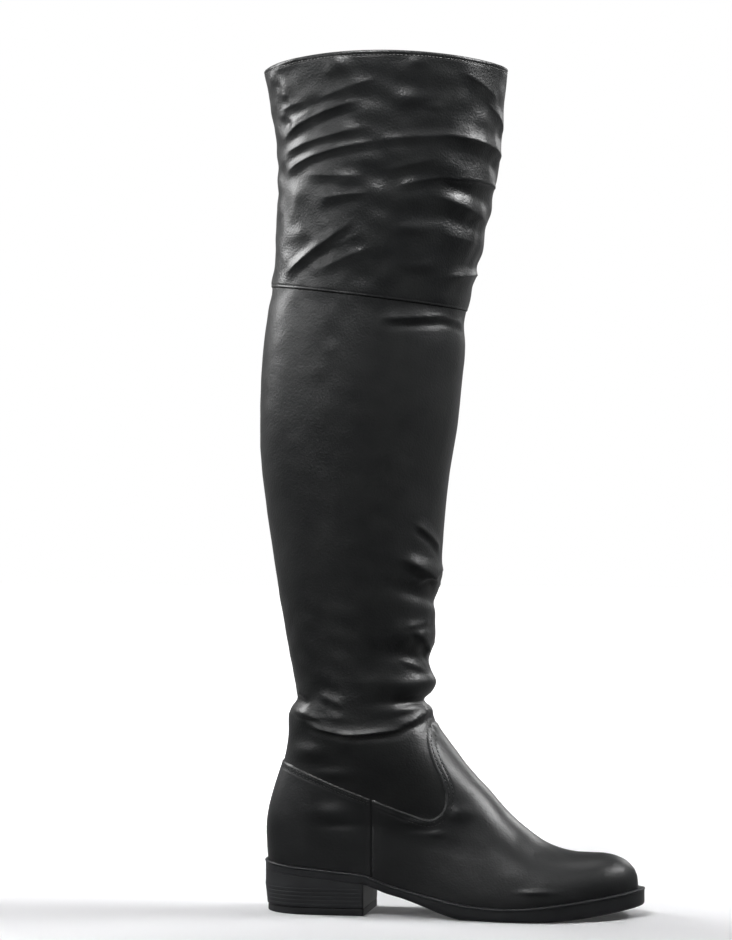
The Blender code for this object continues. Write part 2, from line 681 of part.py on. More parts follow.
def arc(radius, start, end, count):
    turn = np.radians(np.linspace(start, end, count))
    return [(radius * np.cos(a), radius * np.sin(a)) for a in turn]


def make_slider(place):
    """The slider's plate with the bail on it, both about the pull's axis."""
    face = -PULL_BAR - GAP
    low, high = -SLIDER_LENGTH * 0.6, SLIDER_LENGTH * 0.4
    outline = [
        (face - SLIDER_PLATE, low), (face, low + SLIDER_CHAMFER),
        (face, high - SLIDER_CHAMFER), (face - SLIDER_PLATE, high),
    ]
    slider = add_metal("zip_slider", bar_mesh(outline, SLIDER_WIDTH / 2), place)
    hoop = arc(PULL_BAR + GAP + BAIL_WALL, -80, 80, 9)
    hole = arc(PULL_BAR + GAP, 80, -80, 7)
    sunk = face - SLIDER_PLATE / 2
    ends = [[(sunk, side[0][1])] + side + [(sunk, side[-1][1])] for side in (hoop, hole)]
    bail = add_metal("zip_bail_guide", bar_mesh(ends[0] + ends[1], BAIL_WIDTH / 2), place, guide=True)
    cut(slider, bail, "UNION")


def make_pull(place):
    """The pull: a bar under the bail, a leg on each side of it and a plate below."""
    inside = BAIL_WIDTH / 2 + PLAY
    outside = PULL_WIDTH / 2 - PULL_SHOULDER
    top = -(PULL_BAR + GAP + BAIL_WALL + PULL_NECK)
    foot = top - 2 * PULL_THICKNESS
    thick = PULL_THICKNESS / 2
    pull = add_metal("zip_pull", box_mesh((-outside, -PULL_BAR, -PULL_BAR), (outside, PULL_BAR, PULL_BAR)), place)
    pieces = (
        ((-outside, -thick, foot), (-inside, thick, PULL_BAR)),
        ((inside, -thick, foot), (outside, thick, PULL_BAR)),
        ((-PULL_WIDTH / 2, -thick, -PULL_LENGTH), (PULL_WIDTH / 2, thick, top)),
    )
    for n, corners in enumerate(pieces):
        cut(pull, add_metal(f"zip_pull_guide_{n}", box_mesh(*corners), place, guide=True), "UNION")


def make_slider_and_pull():
    """The slider near the zip's top end, lying along the wall, and its pull, hanging straight down."""
    height = ZIP_TOP - SLIDER_BELOW_TOP
    out, slope = zip_surface(height)
    out += ZIP_COIL_HEIGHT + GAP + SLIDER_PLATE + GAP + PULL_BAR
    axis = Matrix.Translation((ZIP_SHAFT * SOLE_LENGTH - HEEL_LENGTH / 2, out, height))
    make_slider(axis @ Matrix.Rotation(-slope, 4, "X"))
    make_pull(axis)


def main():
    for thing in list(bpy.data.objects):
        bpy.data.objects.remove(thing)
    rings, foot_rows = upper_rings()
    make_outsole()
    make_heel()
    make_top_lift()
    make_insole()
    make_upper(rings)
    make_panels(rings, foot_rows)
    make_zip(rings)
    make_slider_and_pull()


main()
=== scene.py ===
import bmesh
import bpy
import math
import numpy as np
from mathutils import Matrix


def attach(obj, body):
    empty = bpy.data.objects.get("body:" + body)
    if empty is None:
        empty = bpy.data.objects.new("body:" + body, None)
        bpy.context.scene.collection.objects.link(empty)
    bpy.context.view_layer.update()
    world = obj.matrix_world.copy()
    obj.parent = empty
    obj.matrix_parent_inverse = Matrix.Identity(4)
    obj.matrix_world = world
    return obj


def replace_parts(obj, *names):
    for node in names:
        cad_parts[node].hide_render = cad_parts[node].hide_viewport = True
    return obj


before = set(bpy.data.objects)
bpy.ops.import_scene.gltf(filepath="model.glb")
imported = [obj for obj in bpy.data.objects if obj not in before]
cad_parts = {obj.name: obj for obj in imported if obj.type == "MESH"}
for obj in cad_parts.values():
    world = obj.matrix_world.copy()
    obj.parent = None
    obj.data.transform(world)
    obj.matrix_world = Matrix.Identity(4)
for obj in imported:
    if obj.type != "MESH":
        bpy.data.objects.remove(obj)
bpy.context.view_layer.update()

# Lengths are metres unless a note says otherwise. Along the foot they are counted from the back of the sole.
last = {
    "length": 0.266, "ballWidth": 0.092, "rimBack": 0.0358, "sideAtBall": 0.0094, "heelLength": 0.0745,
    "ankle": 0.137, "collar": 0.587, "collarRise": 0.006, "ankleDepth": 0.1016, "shaftAxis": 0.075,
    "heelInset": 0.0024, "ballInset": 0.0042, "toeInset": 0.0057, "gap": 0.0003,
    "heelCap": 0.14, "heelRound": 2.2, "toeCap": 0.3, "toePower": 2.6, "toeRoot": 1.9, "toeLean": 0.045,
    "kneeSeam": 0.645, "seamDrop": 0.017, "levelTurn": 0.45, "sideTurn": 0.35, "ankleClimb": 3.0,
    "toeSlide": 1.15, "foldStart": 0.03, "wall": 0.0018, "panel": 0.001, "tuck": 0.0005,
}
shaftLength = last["collar"] - last["ankle"]
# share of the sole's length, outer and inner half widths as shares of the ball's width
plan = np.array([
    (0, 0.326, 0.326), (0.15, 0.337, 0.332), (0.28, 0.337, 0.315), (0.4, 0.353, 0.288),
    (0.5, 0.402, 0.326), (0.6, 0.473, 0.424), (0.68, 0.505, 0.473), (0.76, 0.505, 0.484),
    (0.85, 0.467, 0.467), (1, 0.413, 0.435),
])
# share of the sole's length, height of its rim as a share of the height at the back
rim = np.array([
    (0, 1), (0.08, 0.936), (0.14, 0.902), (0.21, 0.85), (0.26, 0.816), (0.285, 0.785), (0.31, 0.718),
    (0.34, 0.632), (0.39, 0.53), (0.46, 0.408), (0.54, 0.3), (0.6, 0.262), (0.69, 0.264), (0.77, 0.318),
    (0.85, 0.394), (0.91, 0.458), (0.95, 0.505), (1, 0.56),
])
# share of the sole's length, thickness of its side as a share of that at the ball
sidewall = np.array([
    (0, 0.64), (0.2, 0.64), (0.29, 0.72), (0.33, 0.72), (0.38, 0.7), (0.43, 0.82), (0.48, 1.02),
    (0.54, 1.15), (0.6, 1.03), (0.69, 1.04), (0.77, 1.2), (0.85, 1.28), (0.91, 1.28), (1, 1.24),
])
# share of the length, exponent of the foot's dome
fullness = np.array([
    (0, 4), (0.2, 4), (0.32, 2.8), (0.45, 1.6), (0.6, 1.6), (0.78, 2.05), (0.95, 2.5), (1, 2.5),
])
# share of the ankle's height, setback of the heel's back line as a share of the ankle's depth
heelBack = np.array([
    (0, 0.006), (0.1, 0), (0.22, -0.006), (0.36, 0.012), (0.5, 0.05), (0.64, 0.096), (0.78, 0.13),
    (0.9, 0.142), (1, 0.145),
])
# share of the way from toe to ankle, share of the rise of the instep's line
instep = np.array([
    (0, 0), (0.003, 0.045), (0.012, 0.088), (0.03, 0.124), (0.05, 0.15), (0.095, 0.186),
    (0.155, 0.213), (0.225, 0.228), (0.31, 0.247), (0.39, 0.28), (0.46, 0.325), (0.525, 0.386),
    (0.58, 0.44), (0.63, 0.497), (0.715, 0.608), (0.8, 0.705), (0.865, 0.786), (0.93, 0.872),
    (0.978, 0.945), (1, 1),
])
# share of the shaft's height, depth, share behind the axis, width over depth
shaft = np.array([
    (0, 0.1016, 0.571, 0.79), (0.035, 0.096, 0.56, 0.815), (0.096, 0.1001, 0.576, 0.81),
    (0.173, 0.1099, 0.582, 0.82), (0.236, 0.1175, 0.583, 0.83), (0.307, 0.1247, 0.589, 0.84),
    (0.387, 0.1327, 0.586, 0.84), (0.464, 0.1387, 0.564, 0.84), (0.529, 0.1404, 0.548, 0.84),
    (0.589, 0.1398, 0.529, 0.845), (0.629, 0.136, 0.52, 0.86), (0.662, 0.137, 0.499, 0.86),
    (0.722, 0.1422, 0.466, 0.85), (0.787, 0.1481, 0.44, 0.84), (0.864, 0.1547, 0.421, 0.82),
    (0.942, 0.1622, 0.43, 0.8), (1, 0.17, 0.44, 0.78),
])
shaft[:, 3] *= shaft[:, 1]
# large folds: share of the shaft's height, direction and half reach in degrees, half height and depth as
# shares of the ankle's depth, fall per turn
largeFolds = (
    (0.022, 180, 105, 0.045, 0.062, 0), (0.052, 180, 115, 0.06, -0.034, 0),
    (0.022, 0, 70, 0.05, 0.03, 0), (0.092, 195, 65, 0.06, 0.03, 0.35),
    (0.128, 200, 70, 0.07, -0.026, 0.35), (0.188, 195, 62, 0.06, 0.034, 0.6),
    (0.232, 195, 60, 0.07, -0.022, 0.6), (0.712, 190, 60, 0.08, 0.022, 0.15),
    (0.772, 205, 85, 0.07, 0.026, 0.18), (0.822, 215, 90, 0.075, 0.022, 0.1),
)
# creases, given one by one: height in mm and direction in degrees at both ends of the crest (0 back, 90 inner
# side, 180 front, 270 outer side), half height in mm, how far it stands out in mm, bow in mm
creases = (
    (133.5, 314, 126.5, 272, 2.6, 1.2, -1), (126.5, 292, 131.5, 224, 2.6, 1.6, -1.5),
    (131.5, 308, 126.5, 270, 1.2, 0.8, -1), (126.5, 294, 131, 226, 1.2, 1, -1.5),
    (130, 242, 143.5, 184, 2.6, 2.2, -0.5), (141, 338, 135.5, 294, 1.8, 1, 0.5),
    (140.5, 240, 146.5, 176, 2, 1.2, 0.8), (153, 302, 144, 274, 3, 1.1, 0.5),
    (154, 338, 149, 310, 2, 1, 0), (140, 30, 132, 84, 2.8, 1.5, 0),
    (132, 70, 138, 132, 2.8, 1.3, -0.8), (148, 150, 134, 96, 2.4, 1.2, 0),
    (272.5, 223, 251, 186, 3, 1.6, 0.5), (248, 234, 226.5, 182, 3.2, 2.3, 0.8),
    (230, 220, 240.5, 172, 2.2, 0.9, 0), (199.5, 230, 203.5, 192, 2.4, 0.8, 0),
    (198, 222, 178, 180, 3.2, 1.9, 1), (178, 232, 168, 194, 2.6, 0.8, 0),
    (226, 172, 238, 126, 3, 1.8, 0), (184, 174, 200, 128, 3.2, 1.6, 0),
    (534, 333, 560.5, 271, 2.4, 1.9, 3), (560, 301, 575.5, 263, 3.6, 1.2, 0.5),
    (545, 322, 556, 298, 1.8, 0.8, 0.5), (524, 335, 542.5, 267, 2.8, 1.5, 1.5),
    (510.5, 332, 531.5, 263, 2.3, 2.1, 4.5), (531.5, 271, 536.5, 223, 2.2, 1, 0.5),
    (537, 240, 522.5, 173, 3.9, 3.2, 3), (511, 310, 507.5, 273, 2.6, 0.9, 0),
    (494, 298, 497, 269, 2.2, 1, 0), (500, 257, 508, 230, 2.2, 1.1, 1),
    (507, 242, 502, 171, 4.2, 3.7, 3.5), (511, 265, 520.5, 235, 2.4, 0.8, 0),
    (497, 240, 477, 174, 4, 2.3, 0), (580.5, 228, 560, 191, 3.6, 1.4, 1.5),
    (561, 206, 540, 174, 3, 1.4, 1), (440.5, 324, 479.5, 275, 2.7, 2.2, -1),
    (444.5, 294, 461, 262, 2.8, 1.1, 1), (459, 290, 470.5, 270, 3, 0.8, 0),
    (440, 220, 446, 160, 3.2, 2.1, 0), (411, 256, 414, 206, 3.4, 2.3, 0),
    (414, 220, 408, 182, 2.8, 1.2, 0), (556, 330, 561, 306, 2.2, 0.9, 0),
    (470, 230, 462, 186, 3.6, 0.7, 0.5),
    (524, 24, 536, 82, 2.8, 2.2, 2), (546, 100, 528, 166, 3.2, 2.4, 2),
    (504, 30, 516, 104, 2.8, 1.9, 2), (496, 106, 482, 170, 3.4, 2.3, 1.5),
    (452, 26, 476, 84, 2.8, 2, 1.5), (456, 110, 448, 164, 3, 1.8, 0.5),
    (417, 112, 415, 166, 2.6, 1.7, 0), (562, 40, 570, 80, 3.2, 1.2, 0.5),
)
# a crease's section in half heights: the way up to its crest and down from it, longer on the cuff, which
# starts at cuffFrom in mm, and its droop; the shares of its depth that sags and of its length that fades
fold = {"rise": 2.8, "fall": 1.6, "cuffFall": 3.0, "cuffFrom": 430, "droop": 1.2, "sag": 0.4, "fade": 0.3}
# soft swellings of the foot: length and height in mm, side (1 inner, -1 outer), half length and half height
# in mm, how far each stands out in mm
swellings = (
    (37, 113, -1, 10, 6, 2.4), (55, 98, -1, 13, 4, 1.5), (56, 71, -1, 15, 7, 2.2),
    (58, 62.5, -1, 12, 2.6, -0.8), (112, 66, -1, 10, 2.4, 0.9), (115, 60.5, -1, 9, 2, -0.6),
    (126, 58, -1, 5, 2.4, 0.9), (141, 72, -1, 7, 5, 1.6), (196, 20, -1, 10, 1.8, 1),
    (30, 104, 1, 9, 7, 1.1), (118, 60, 1, 14, 3, 0.5), (44, 62, 1, 14, 9, 0.6),
)
# soft swellings of the shaft: height in mm and direction in degrees, half height in mm, half reach in
# degrees, how far each stands out in mm
bulges = (
    (584, 285, 5, 6, 1.2), (579, 290, 3, 3, 0.6), (560, 248, 5, 9, 1.6), (555, 239, 2.5, 5, 0.6),
    (584.5, 248, 3.5, 5, 1), (577, 320, 9, 5, 0.9), (562, 317, 4, 4, 0.6), (493, 317, 8, 6, 0.8),
    (470, 310, 5, 6, 0.6), (472.5, 245, 4, 8, 1.3), (447, 237, 4.5, 9, 1.4), (413, 283, 9, 6, 0.8),
    (391, 280, 5, 4, 0.6), (376, 286, 7, 5, 0.6), (350, 282, 12, 7, 0.6), (150, 262, 7, 24, 0.6),
    (570, 78, 6, 9, 0.9), (478, 62, 6, 8, 0.8), (392, 60, 8, 5, 0.7), (469, 220, 6, 13, -0.8),
    (586, 323, 3, 4, 0.8), (573, 327, 3, 3, -0.5), (566, 322, 2.5, 3, 0.7), (553, 327, 3, 4, 0.8),
    (547, 321, 2.2, 3, -0.5), (590, 311, 2.5, 3, 0.6), (580, 334, 5, 3, 0.7),
)


def smooth(rows, at, column=1):
    # a cubic through the table's rows, whose slope at each row comes from its neighbours
    x, y = rows[:, 0], rows[:, column]
    slope = np.gradient(y, x)
    at = np.clip(np.asarray(at, float), x[0], x[-1])
    i = np.clip(np.searchsorted(x, at, side="right") - 1, 0, len(x) - 2)
    step = x[i + 1] - x[i]
    t = (at - x[i]) / step
    return (y[i] * (1 + 2 * t) * (1 - t) ** 2 + slope[i] * step * t * (1 - t) ** 2
            + y[i + 1] * t * t * (3 - 2 * t) - slope[i + 1] * step * t * t * (1 - t))


def ease(t):
    # 0 before 0, 1 after 1, a soft S between
    t = np.clip(t, 0, 1)
    return t * t * (3 - 2 * t)


def unit(rows):
    # each row over its own length
    return rows / np.maximum(np.linalg.norm(rows, axis=-1, keepdims=True), 1e-9)


def turnFrom(angle, towards):
    # how far an angle is turned from a direction in degrees, -180 to 180
    return (np.degrees(angle) - towards + 180) % 360 - 180


def spread(v, angle):
    return np.broadcast_arrays(np.asarray(v, float), np.asarray(angle, float))


def allRound(count):
    # even angles of a closed loop
    return np.arange(count) * 2 * np.pi / count


def rimHeight(share):
    return last["rimBack"] * smooth(rim, share)


def treadHeight(share):
    return np.maximum(rimHeight(share) - last["sideAtBall"] * smooth(sidewall, share), 0)


def centreLine(share):
    return last["ballWidth"] * last["toeLean"] * ease((np.asarray(share) - 0.5) / 0.5)


def halfWidth(share, inner, inset=0.0):
    # the plan's side line, rounded off at heel and toe by superellipses
    column = np.where(inner, smooth(plan, share, 2), smooth(plan, share, 1))
    heel = np.clip(1 - share / last["heelCap"], 0, 1)
    toe = np.clip((share - 1 + last["toeCap"]) / last["toeCap"], 0, 1)
    ends = ((1 - heel ** last["heelRound"]) ** (1 / last["heelRound"])
            * (1 - toe ** last["toePower"]) ** (1 / last["toeRoot"]))
    return (last["ballWidth"] * column - inset) * ends


def upperInset(share):
    return last["heelInset"] + (last["ballInset"] - last["heelInset"]) * ease((share - 0.3) / 0.3)


def shaftPoint(height, angle):
    # an oval at each height, pushed in and out by the large folds, tipped down at the front near the knee seam
    depth, behind, width = (smooth(shaft, height, k) for k in (1, 2, 3))
    push = np.zeros(np.broadcast(height, angle).shape)
    for at, towards, reach, half, deep, fall in largeFolds:
        turn = turnFrom(angle, towards)
        away = ((height - at) * shaftLength / last["ankleDepth"] - fall * turn / 360) / half
        push -= deep * last["ankleDepth"] * np.exp(-away ** 2) * ease(1 - np.abs(turn) / reach)
    push *= ease(height / last["foldStart"])
    along, across = -np.cos(angle), np.sin(angle)
    knee = last["kneeSeam"]
    tip = np.where(height < knee, ease(height / knee), ease((1 - height) / (1 - knee)))
    x = last["shaftAxis"] + depth * (0.5 - behind) + (depth / 2 + push) * along
    y = (width / 2 + push) * across
    z = (last["ankle"] + height * shaftLength - last["seamDrop"] * tip * along / 2
         + last["collarRise"] * across ** 2 * ease((height - 0.8) / 0.2))
    return np.stack(np.broadcast_arrays(x, y, z), axis=-1)


def footPoint(level, angle):
    # loops from the sole's rim to the ankle: the back slides up the heel, the front up the instep, and the wall
    # domes over between them from the plan's width
    ankleBack, ankleFront = shaftPoint(np.zeros(2), np.array([0.0, np.pi]))[:, 0]
    toe = last["length"] - last["toeInset"]
    inset = last["heelInset"]
    backTop = last["ankle"] - last["rimBack"]
    ridgeTop = last["ankle"] - rimHeight(ankleFront / last["length"])
    back = inset + (ankleBack - inset) * smooth(heelBack, level) / heelBack[-1, 1]
    way = level ** last["toeSlide"]
    front = toe + (ankleFront - toe) * way
    frontTop = ridgeTop * smooth(instep, way)
    share = (1 - np.cos(angle)) / 2
    x = back + share * (front - back)
    below = x - (back - inset) * (1 - share) ** 3
    at = np.clip((below - inset) / (toe - inset), 0, 1)
    ridge = ridgeTop * smooth(instep, np.clip((toe - x) / (toe - ankleFront), 0, 1))
    ridge = ridge + np.maximum(ankleFront - x, 0) * last["ankleClimb"]
    above = np.minimum(backTop * level + share * (frontTop - backTop * level), ridge)
    domed = rimHeight(below / last["length"]) + last["gap"] + above
    backHeight = last["rimBack"] + last["gap"] + backTop * level
    frontHeight = rimHeight(front / last["length"]) + frontTop
    flat = ease((level - last["levelTurn"]) / (1 - last["levelTurn"]))
    z = (1 - flat) * domed + flat * ((1 - share) * backHeight + share * frontHeight)
    high = np.clip(above / np.maximum(ridge, last["gap"]), 0, 1)
    dome = np.sqrt(np.maximum(1 - high ** smooth(fullness, at), 0))
    inner = np.sin(angle) > 0
    foot = halfWidth(at, inner, upperInset(at)) * dome
    leg = smooth(shaft, 0.0, 3) / 2 * np.abs(np.sin(angle))
    blend = ease((level - last["sideTurn"]) / (1 - last["sideTurn"]))
    wide = (1 - blend) * foot + blend * leg
    y = centreLine(at) * (1 - blend) + np.where(inner, wide, -wide)
    return np.stack(np.broadcast_arrays(x, y, z), axis=-1)


def wallPoint(v, angle):
    # v 0 to 1 is the foot from the rim to the ankle, 1 to 2 the shaft from the ankle to the collar
    v, angle = spread(v, angle)
    foot = footPoint(np.clip(v, 0, 1), angle)
    leg = shaftPoint(np.clip(v - 1, 0, 1), angle)
    return np.where((v < 1)[..., None], foot, leg)


def sideView(v, angle):
    # length and height of wall places
    return np.moveaxis(wallPoint(v, angle)[..., ::2], -1, 0)


def wallNormal(v, angle):
    # outward unit normal: up the wall crossed with round the wall, both from small steps
    v, angle = spread(v, angle)
    rise, turn = np.clip(0.15 * v, 0.0004, 0.004), 0.01
    up = wallPoint(np.minimum(v + rise, 2), angle) - wallPoint(np.maximum(v - rise, 0), angle)
    across = wallPoint(v, angle + turn) - wallPoint(v, angle - turn)
    return unit(np.cross(up, across))


# slack of the leather: the waves in it, how far it stands in and out with them, and where on the shaft
wave = {"count": 26, "shortest": 0.012, "longest": 0.04, "anywhere": 0.0001, "cuff": 0.0004, "ankle": 0.0003,
        "cuffFrom": 0.4, "ankleFrom": 0.11, "ankleTo": 0.24}
chance = np.random.default_rng(11)
waveTurns = unit(chance.normal(size=(wave["count"], 3)) * (0.45, 0.45, 1.0))
waveStarts = chance.uniform(0, 2 * np.pi, wave["count"])
waveLengths = chance.uniform(wave["shortest"], wave["longest"], wave["count"])


def waviness(points):
    # a sum of sine waves, most of them with nearly level crests, about -1 to 1
    total = np.zeros(points.shape[:-1])
    for turn, start, length in zip(waveTurns, waveStarts, waveLengths):
        total += np.sin(points @ turn * 2 * np.pi / length + start)
    return total / 7


def creaseLift(base, angle):
    # each crease has a crest along a short bowed line on the unrolled wall: the leather rises ever more steeply
    # to it from above, falls off sharply below, over a longer way on the cuff, and comes back out of a soft
    # trough; the crest also sags over what lies below
    height = base[..., 2] * 1000
    share = np.clip((base[..., 2] - last["ankle"]) / shaftLength, 0, 1)
    perDegree = (smooth(shaft, share, 1) + smooth(shaft, share, 3)) * 1000 * np.pi / 720
    lift, sag = np.zeros(height.shape), np.zeros(height.shape)
    for low, fromTurn, high, toTurn, half, deep, bow in creases:
        wide = (toTurn - fromTurn + 180) % 360 - 180
        length = np.hypot(wide * perDegree, high - low)
        alongX, alongZ = wide * perDegree / length, (high - low) / length
        u = turnFrom(angle, fromTurn) * perDegree
        t = (u * alongX + (height - low) * alongZ) / length
        away = (height - low) * np.abs(alongX) - u * alongZ * np.sign(alongX) - bow * 4 * t * (1 - t)
        out = deep * ease(t / fold["fade"]) * ease((1 - t) / fold["fade"])
        rise = np.clip(1 - away / (fold["rise"] * half), 0, 1) ** 1.8
        fall = away / (half * fold["cuffFall" if low > fold["cuffFrom"] else "fall"])
        drop = 1.4 * np.clip(1 + fall, 0, 1) ** 1.7 - 0.4 + 0.4 * ease(-(fall + 0.75) / 1.2)
        droop = np.clip(1 + away / (fold["droop"] * half), 0, 1) ** 1.5
        lift += out * np.where(away > 0, rise, drop)
        sag += out * np.where(away > 0, rise, droop) ** 2
    for x, z, inner, long, tall, out in swellings:
        here = np.exp(-((base[..., 0] * 1000 - x) / long) ** 2 - ((height - z) / tall) ** 2)
        lift += out * here * (np.sin(angle) * inner > 0)
    for z, towards, tall, reach, out in bulges:
        lift += out * np.exp(-(turnFrom(angle, towards) / reach) ** 2 - ((height - z) / tall) ** 2)
    return lift / 1000, sag * fold["sag"] / 1000


def slack(base):
    # how much the leather waves: most on the cuff, some round the ankle, little elsewhere
    z = base[..., 2]
    onCuff = ease((z - wave["cuffFrom"]) / 0.05)
    atAnkle = ease((z - wave["ankleFrom"]) / 0.03) * ease((wave["ankleTo"] - z) / 0.05)
    return wave["anywhere"] + wave["cuff"] * onCuff + wave["ankle"] * atAnkle


def skinPoint(v, angle, lift):
    # the wall moved along its normal by the creases, the slack and the piece's own lift
    base = wallPoint(v, angle)
    v, angle = spread(v, angle)
    folds, sag = creaseLift(base, angle)
    out = folds + waviness(base) * slack(base) + lift
    return base + wallNormal(v, angle) * out[..., None] - sag[..., None] * (0, 0, 1)


def linear(code):
    # sRGB hex to linear
    parts = [int(code[k:k + 2], 16) / 255 for k in (1, 3, 5)]
    return (*[c / 12.92 if c <= 0.04045 else ((c + 0.055) / 1.055) ** 2.4 for c in parts], 1.0)


def addObject(name, data):
    made = bpy.data.objects.new(name, data)
    bpy.context.scene.collection.objects.link(made)
    return made


def addNode(tree, kind, values=None, links=None, **settings):
    node = tree.nodes.new("ShaderNode" + kind)
    for key, value in settings.items():
        setattr(node, key, value)
    for key, value in (values or {}).items():
        node.inputs[key].default_value = value
    for key, source in (links or {}).items():
        tree.links.new(source, node.inputs[key])
    return node


def startMaterial(name):
    made = bpy.data.materials.new(name)
    made.use_nodes = True
    made.node_tree.nodes.clear()
    return made, made.node_tree, {"Vector": addNode(made.node_tree, "TexCoord").outputs["Object"]}


def endMaterial(made, values, links):
    shader = addNode(made.node_tree, "BsdfPrincipled", values, links)
    addNode(made.node_tree, "OutputMaterial", links={"Surface": shader.outputs["BSDF"]})
    return made


def ramp(tree, source, stops):
    # colour stops from (place, hex)
    node = addNode(tree, "ValToRGB", links={"Fac": source})
    marks = node.color_ramp.elements
    while len(marks) < len(stops):
        marks.new(0.5)
    for mark, (place, code) in zip(marks, stops):
        mark.position = place
        mark.color = linear(code)
    return node.outputs["Color"]


def span(tree, source, low, high, start=0.0, end=1.0):
    # a value that runs from start to end, spread over low to high
    node = addNode(tree, "MapRange", {"From Min": start, "From Max": end, "To Min": low, "To Max": high},
                   {"Value": source})
    return node.outputs["Result"]


def makeLeather(name, grainDepth, shine, dark="#101112", pale="#181919"):
    # Polyurethane leather: a pressed pebble grain about 1 mm wide under a thin semi-gloss film. The eye sees
    # long soft highlights that break up into fine grain. Scales count grains in a metre: 780 draws the pebble
    # 1.3 mm wide so that it shows, 420 is a skin wrinkle of 2.4 mm, 38 a patch of 26 mm.
    made, tree, place = startMaterial(name)
    grain = addNode(tree, "TexVoronoi", {"Scale": 780}, place, feature="SMOOTH_F1")
    patch = addNode(tree, "TexNoise", {"Scale": 38, "Detail": 5, "Roughness": 0.6}, place).outputs["Fac"]
    fine = addNode(tree, "TexNoise", {"Scale": 420, "Detail": 4, "Roughness": 0.65}, place).outputs["Fac"]
    broad = addNode(tree, "TexNoise", {"Scale": 9, "Detail": 3}, place).outputs["Fac"]
    worn = addNode(tree, "Math", {1: 0.35}, {0: patch}, operation="MULTIPLY")
    mixed = addNode(tree, "Math", links={0: worn.outputs[0], 1: broad}, operation="ADD").outputs[0]
    bump = addNode(tree, "Bump", {"Strength": 0.5, "Distance": grainDepth},
                   {"Height": grain.outputs["Distance"]}, invert=True)
    for height, strength, deep in ((fine, 0.5, 0.00014), (patch, 0.35, 0.001)):
        bump = addNode(tree, "Bump", {"Strength": strength, "Distance": deep},
                       {"Height": height, "Normal": bump.outputs["Normal"]})
    return endMaterial(made, {
        "IOR": 1.5, "Specular IOR Level": 0.5, "Coat Weight": 0.12, "Coat Roughness": 0.26, "Coat IOR": 1.45,
    }, {
        "Base Color": ramp(tree, patch, [(0.3, dark), (0.7, pale)]),
        "Roughness": span(tree, mixed, shine - 0.06, shine + 0.1, 0.35, 1.0),
        "Normal": bump.outputs["Normal"], "Coat Normal": bump.outputs["Normal"],
    })


def makePlain(name, dark, pale, rough, scale, depth, values=None):
    # One colour broken by soft patches of about 17 mm, with a fine grit in its surface. scale counts its grains
    # in a metre: 900 is one of 1.1 mm. Real fibres are finer, and drawn that coarse so that they show.
    made, tree, place = startMaterial(name)
    patch = addNode(tree, "TexNoise", {"Scale": 60, "Detail": 4}, place).outputs["Fac"]
    grit = addNode(tree, "TexNoise", {"Scale": scale, "Detail": 3, "Roughness": 0.6}, place).outputs["Fac"]
    bump = addNode(tree, "Bump", {"Strength": 0.5, "Distance": depth}, {"Height": grit})
    return endMaterial(made, {"IOR": 1.5, **(values or {})}, {
        "Base Color": ramp(tree, patch, [(0.3, dark), (0.7, pale)]),
        "Roughness": span(tree, patch, rough - 0.05, rough + 0.08), "Normal": bump.outputs["Normal"],
    })


legFinish = makeLeather("polyurethaneLeatherLeg", 0.00022, 0.4)
# pulled tight over the foot: flatter grain
panelFinish = makeLeather("polyurethaneLeatherPanel", 0.00012, 0.4, "#141516", "#1c1d1e")
# slack and worn by the knee: raised grain, shinier crests
cuffFinish = makeLeather("polyurethaneLeatherCuff", 0.00028, 0.36)
# a soft nap, no highlight
liningFinish = makePlain("brushedPolyesterLining", "#1c1b1b", "#262424", 0.88, 900, 0.0003)
# from a polished mould: a satin light along the rim
soleFinish = makePlain("mouldedThermoplasticRubber", "#1c1d1f", "#242527", 0.42, 700, 0.00012,
                       {"Coat Weight": 0.15, "Coat Roughness": 0.3})
# duller, so that the grooves show
heelFinish = makePlain("mouldedHeelStack", "#1f2022", "#27282a", 0.46, 500, 0.00012)
liftFinish = makePlain("topLiftRubber", "#1d1e20", "#252628", 0.55, 400, 0.0002)
# brushed, warm grey, matt
insoleFinish = makePlain("syntheticInsoleSuede", "#2c2a27", "#37342f", 0.9, 1200, 0.0004)
# a small glint on each stitch
threadFinish = makePlain("bondedPolyesterThread", "#151616", "#202121", 0.5, 2500, 0.0001)
# painted shade in part: a dead black line along cut edges, edge dye that also stands for the shade under the
# turned edges
dyeAndShadeFinish = makePlain("blackEdgeDyeAndShade", "#070707", "#0a0a0a", 0.85, 1500, 0.0001, {"Specular IOR Level": 0.1})
collarThreadFinish = makePlain("paleCollarThread", "#4a4a4a", "#666564", 0.5, 2500, 0.0001)
# a flat weave, dark beside the coil's glint
tapeFinish = makePlain("wovenZipTape", "#121213", "#19191a", 0.8, 1800, 0.0003)
coilFinish = makePlain("nylonCoil", "#19191a", "#222223", 0.38, 900, 0.00005)
nickelFinish = makePlain("blackNickelPlate", "#4a4a4d", "#5a5a5d", 0.28, 600, 0.00006, {"Metallic": 1.0})
print("materials made")


def makePiece(name, points, faces, finish, weld=0.0, sharp=None):
    # a mesh from points counted from the back of the sole, moved to the frame's origin; points closer than
    # weld merge, and edges from sharp degrees on stay hard
    points = np.asarray(points, float).reshape(-1, 3) - (last["heelLength"] / 2, 0, 0)
    faces = np.asarray(faces)
    used = np.unique(faces)
    index = np.zeros(len(points), int)
    index[used] = np.arange(len(used))
    mesh = bpy.data.meshes.new(name)
    mesh.from_pydata(points[used].tolist(), [], index[faces].tolist())
    if weld:
        tidy = bmesh.new()
        tidy.from_mesh(mesh)
        bmesh.ops.remove_doubles(tidy, verts=tidy.verts, dist=weld)
        tidy.to_mesh(mesh)
        tidy.free()
    mesh.validate()
    mesh.shade_smooth()
    if sharp:
        mesh.set_sharp_from_angle(angle=math.radians(sharp))
    mesh.materials.append(finish)
    made = addObject(name, mesh)
    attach(made, "boot")
    print(name, len(mesh.vertices), "points")
    return made


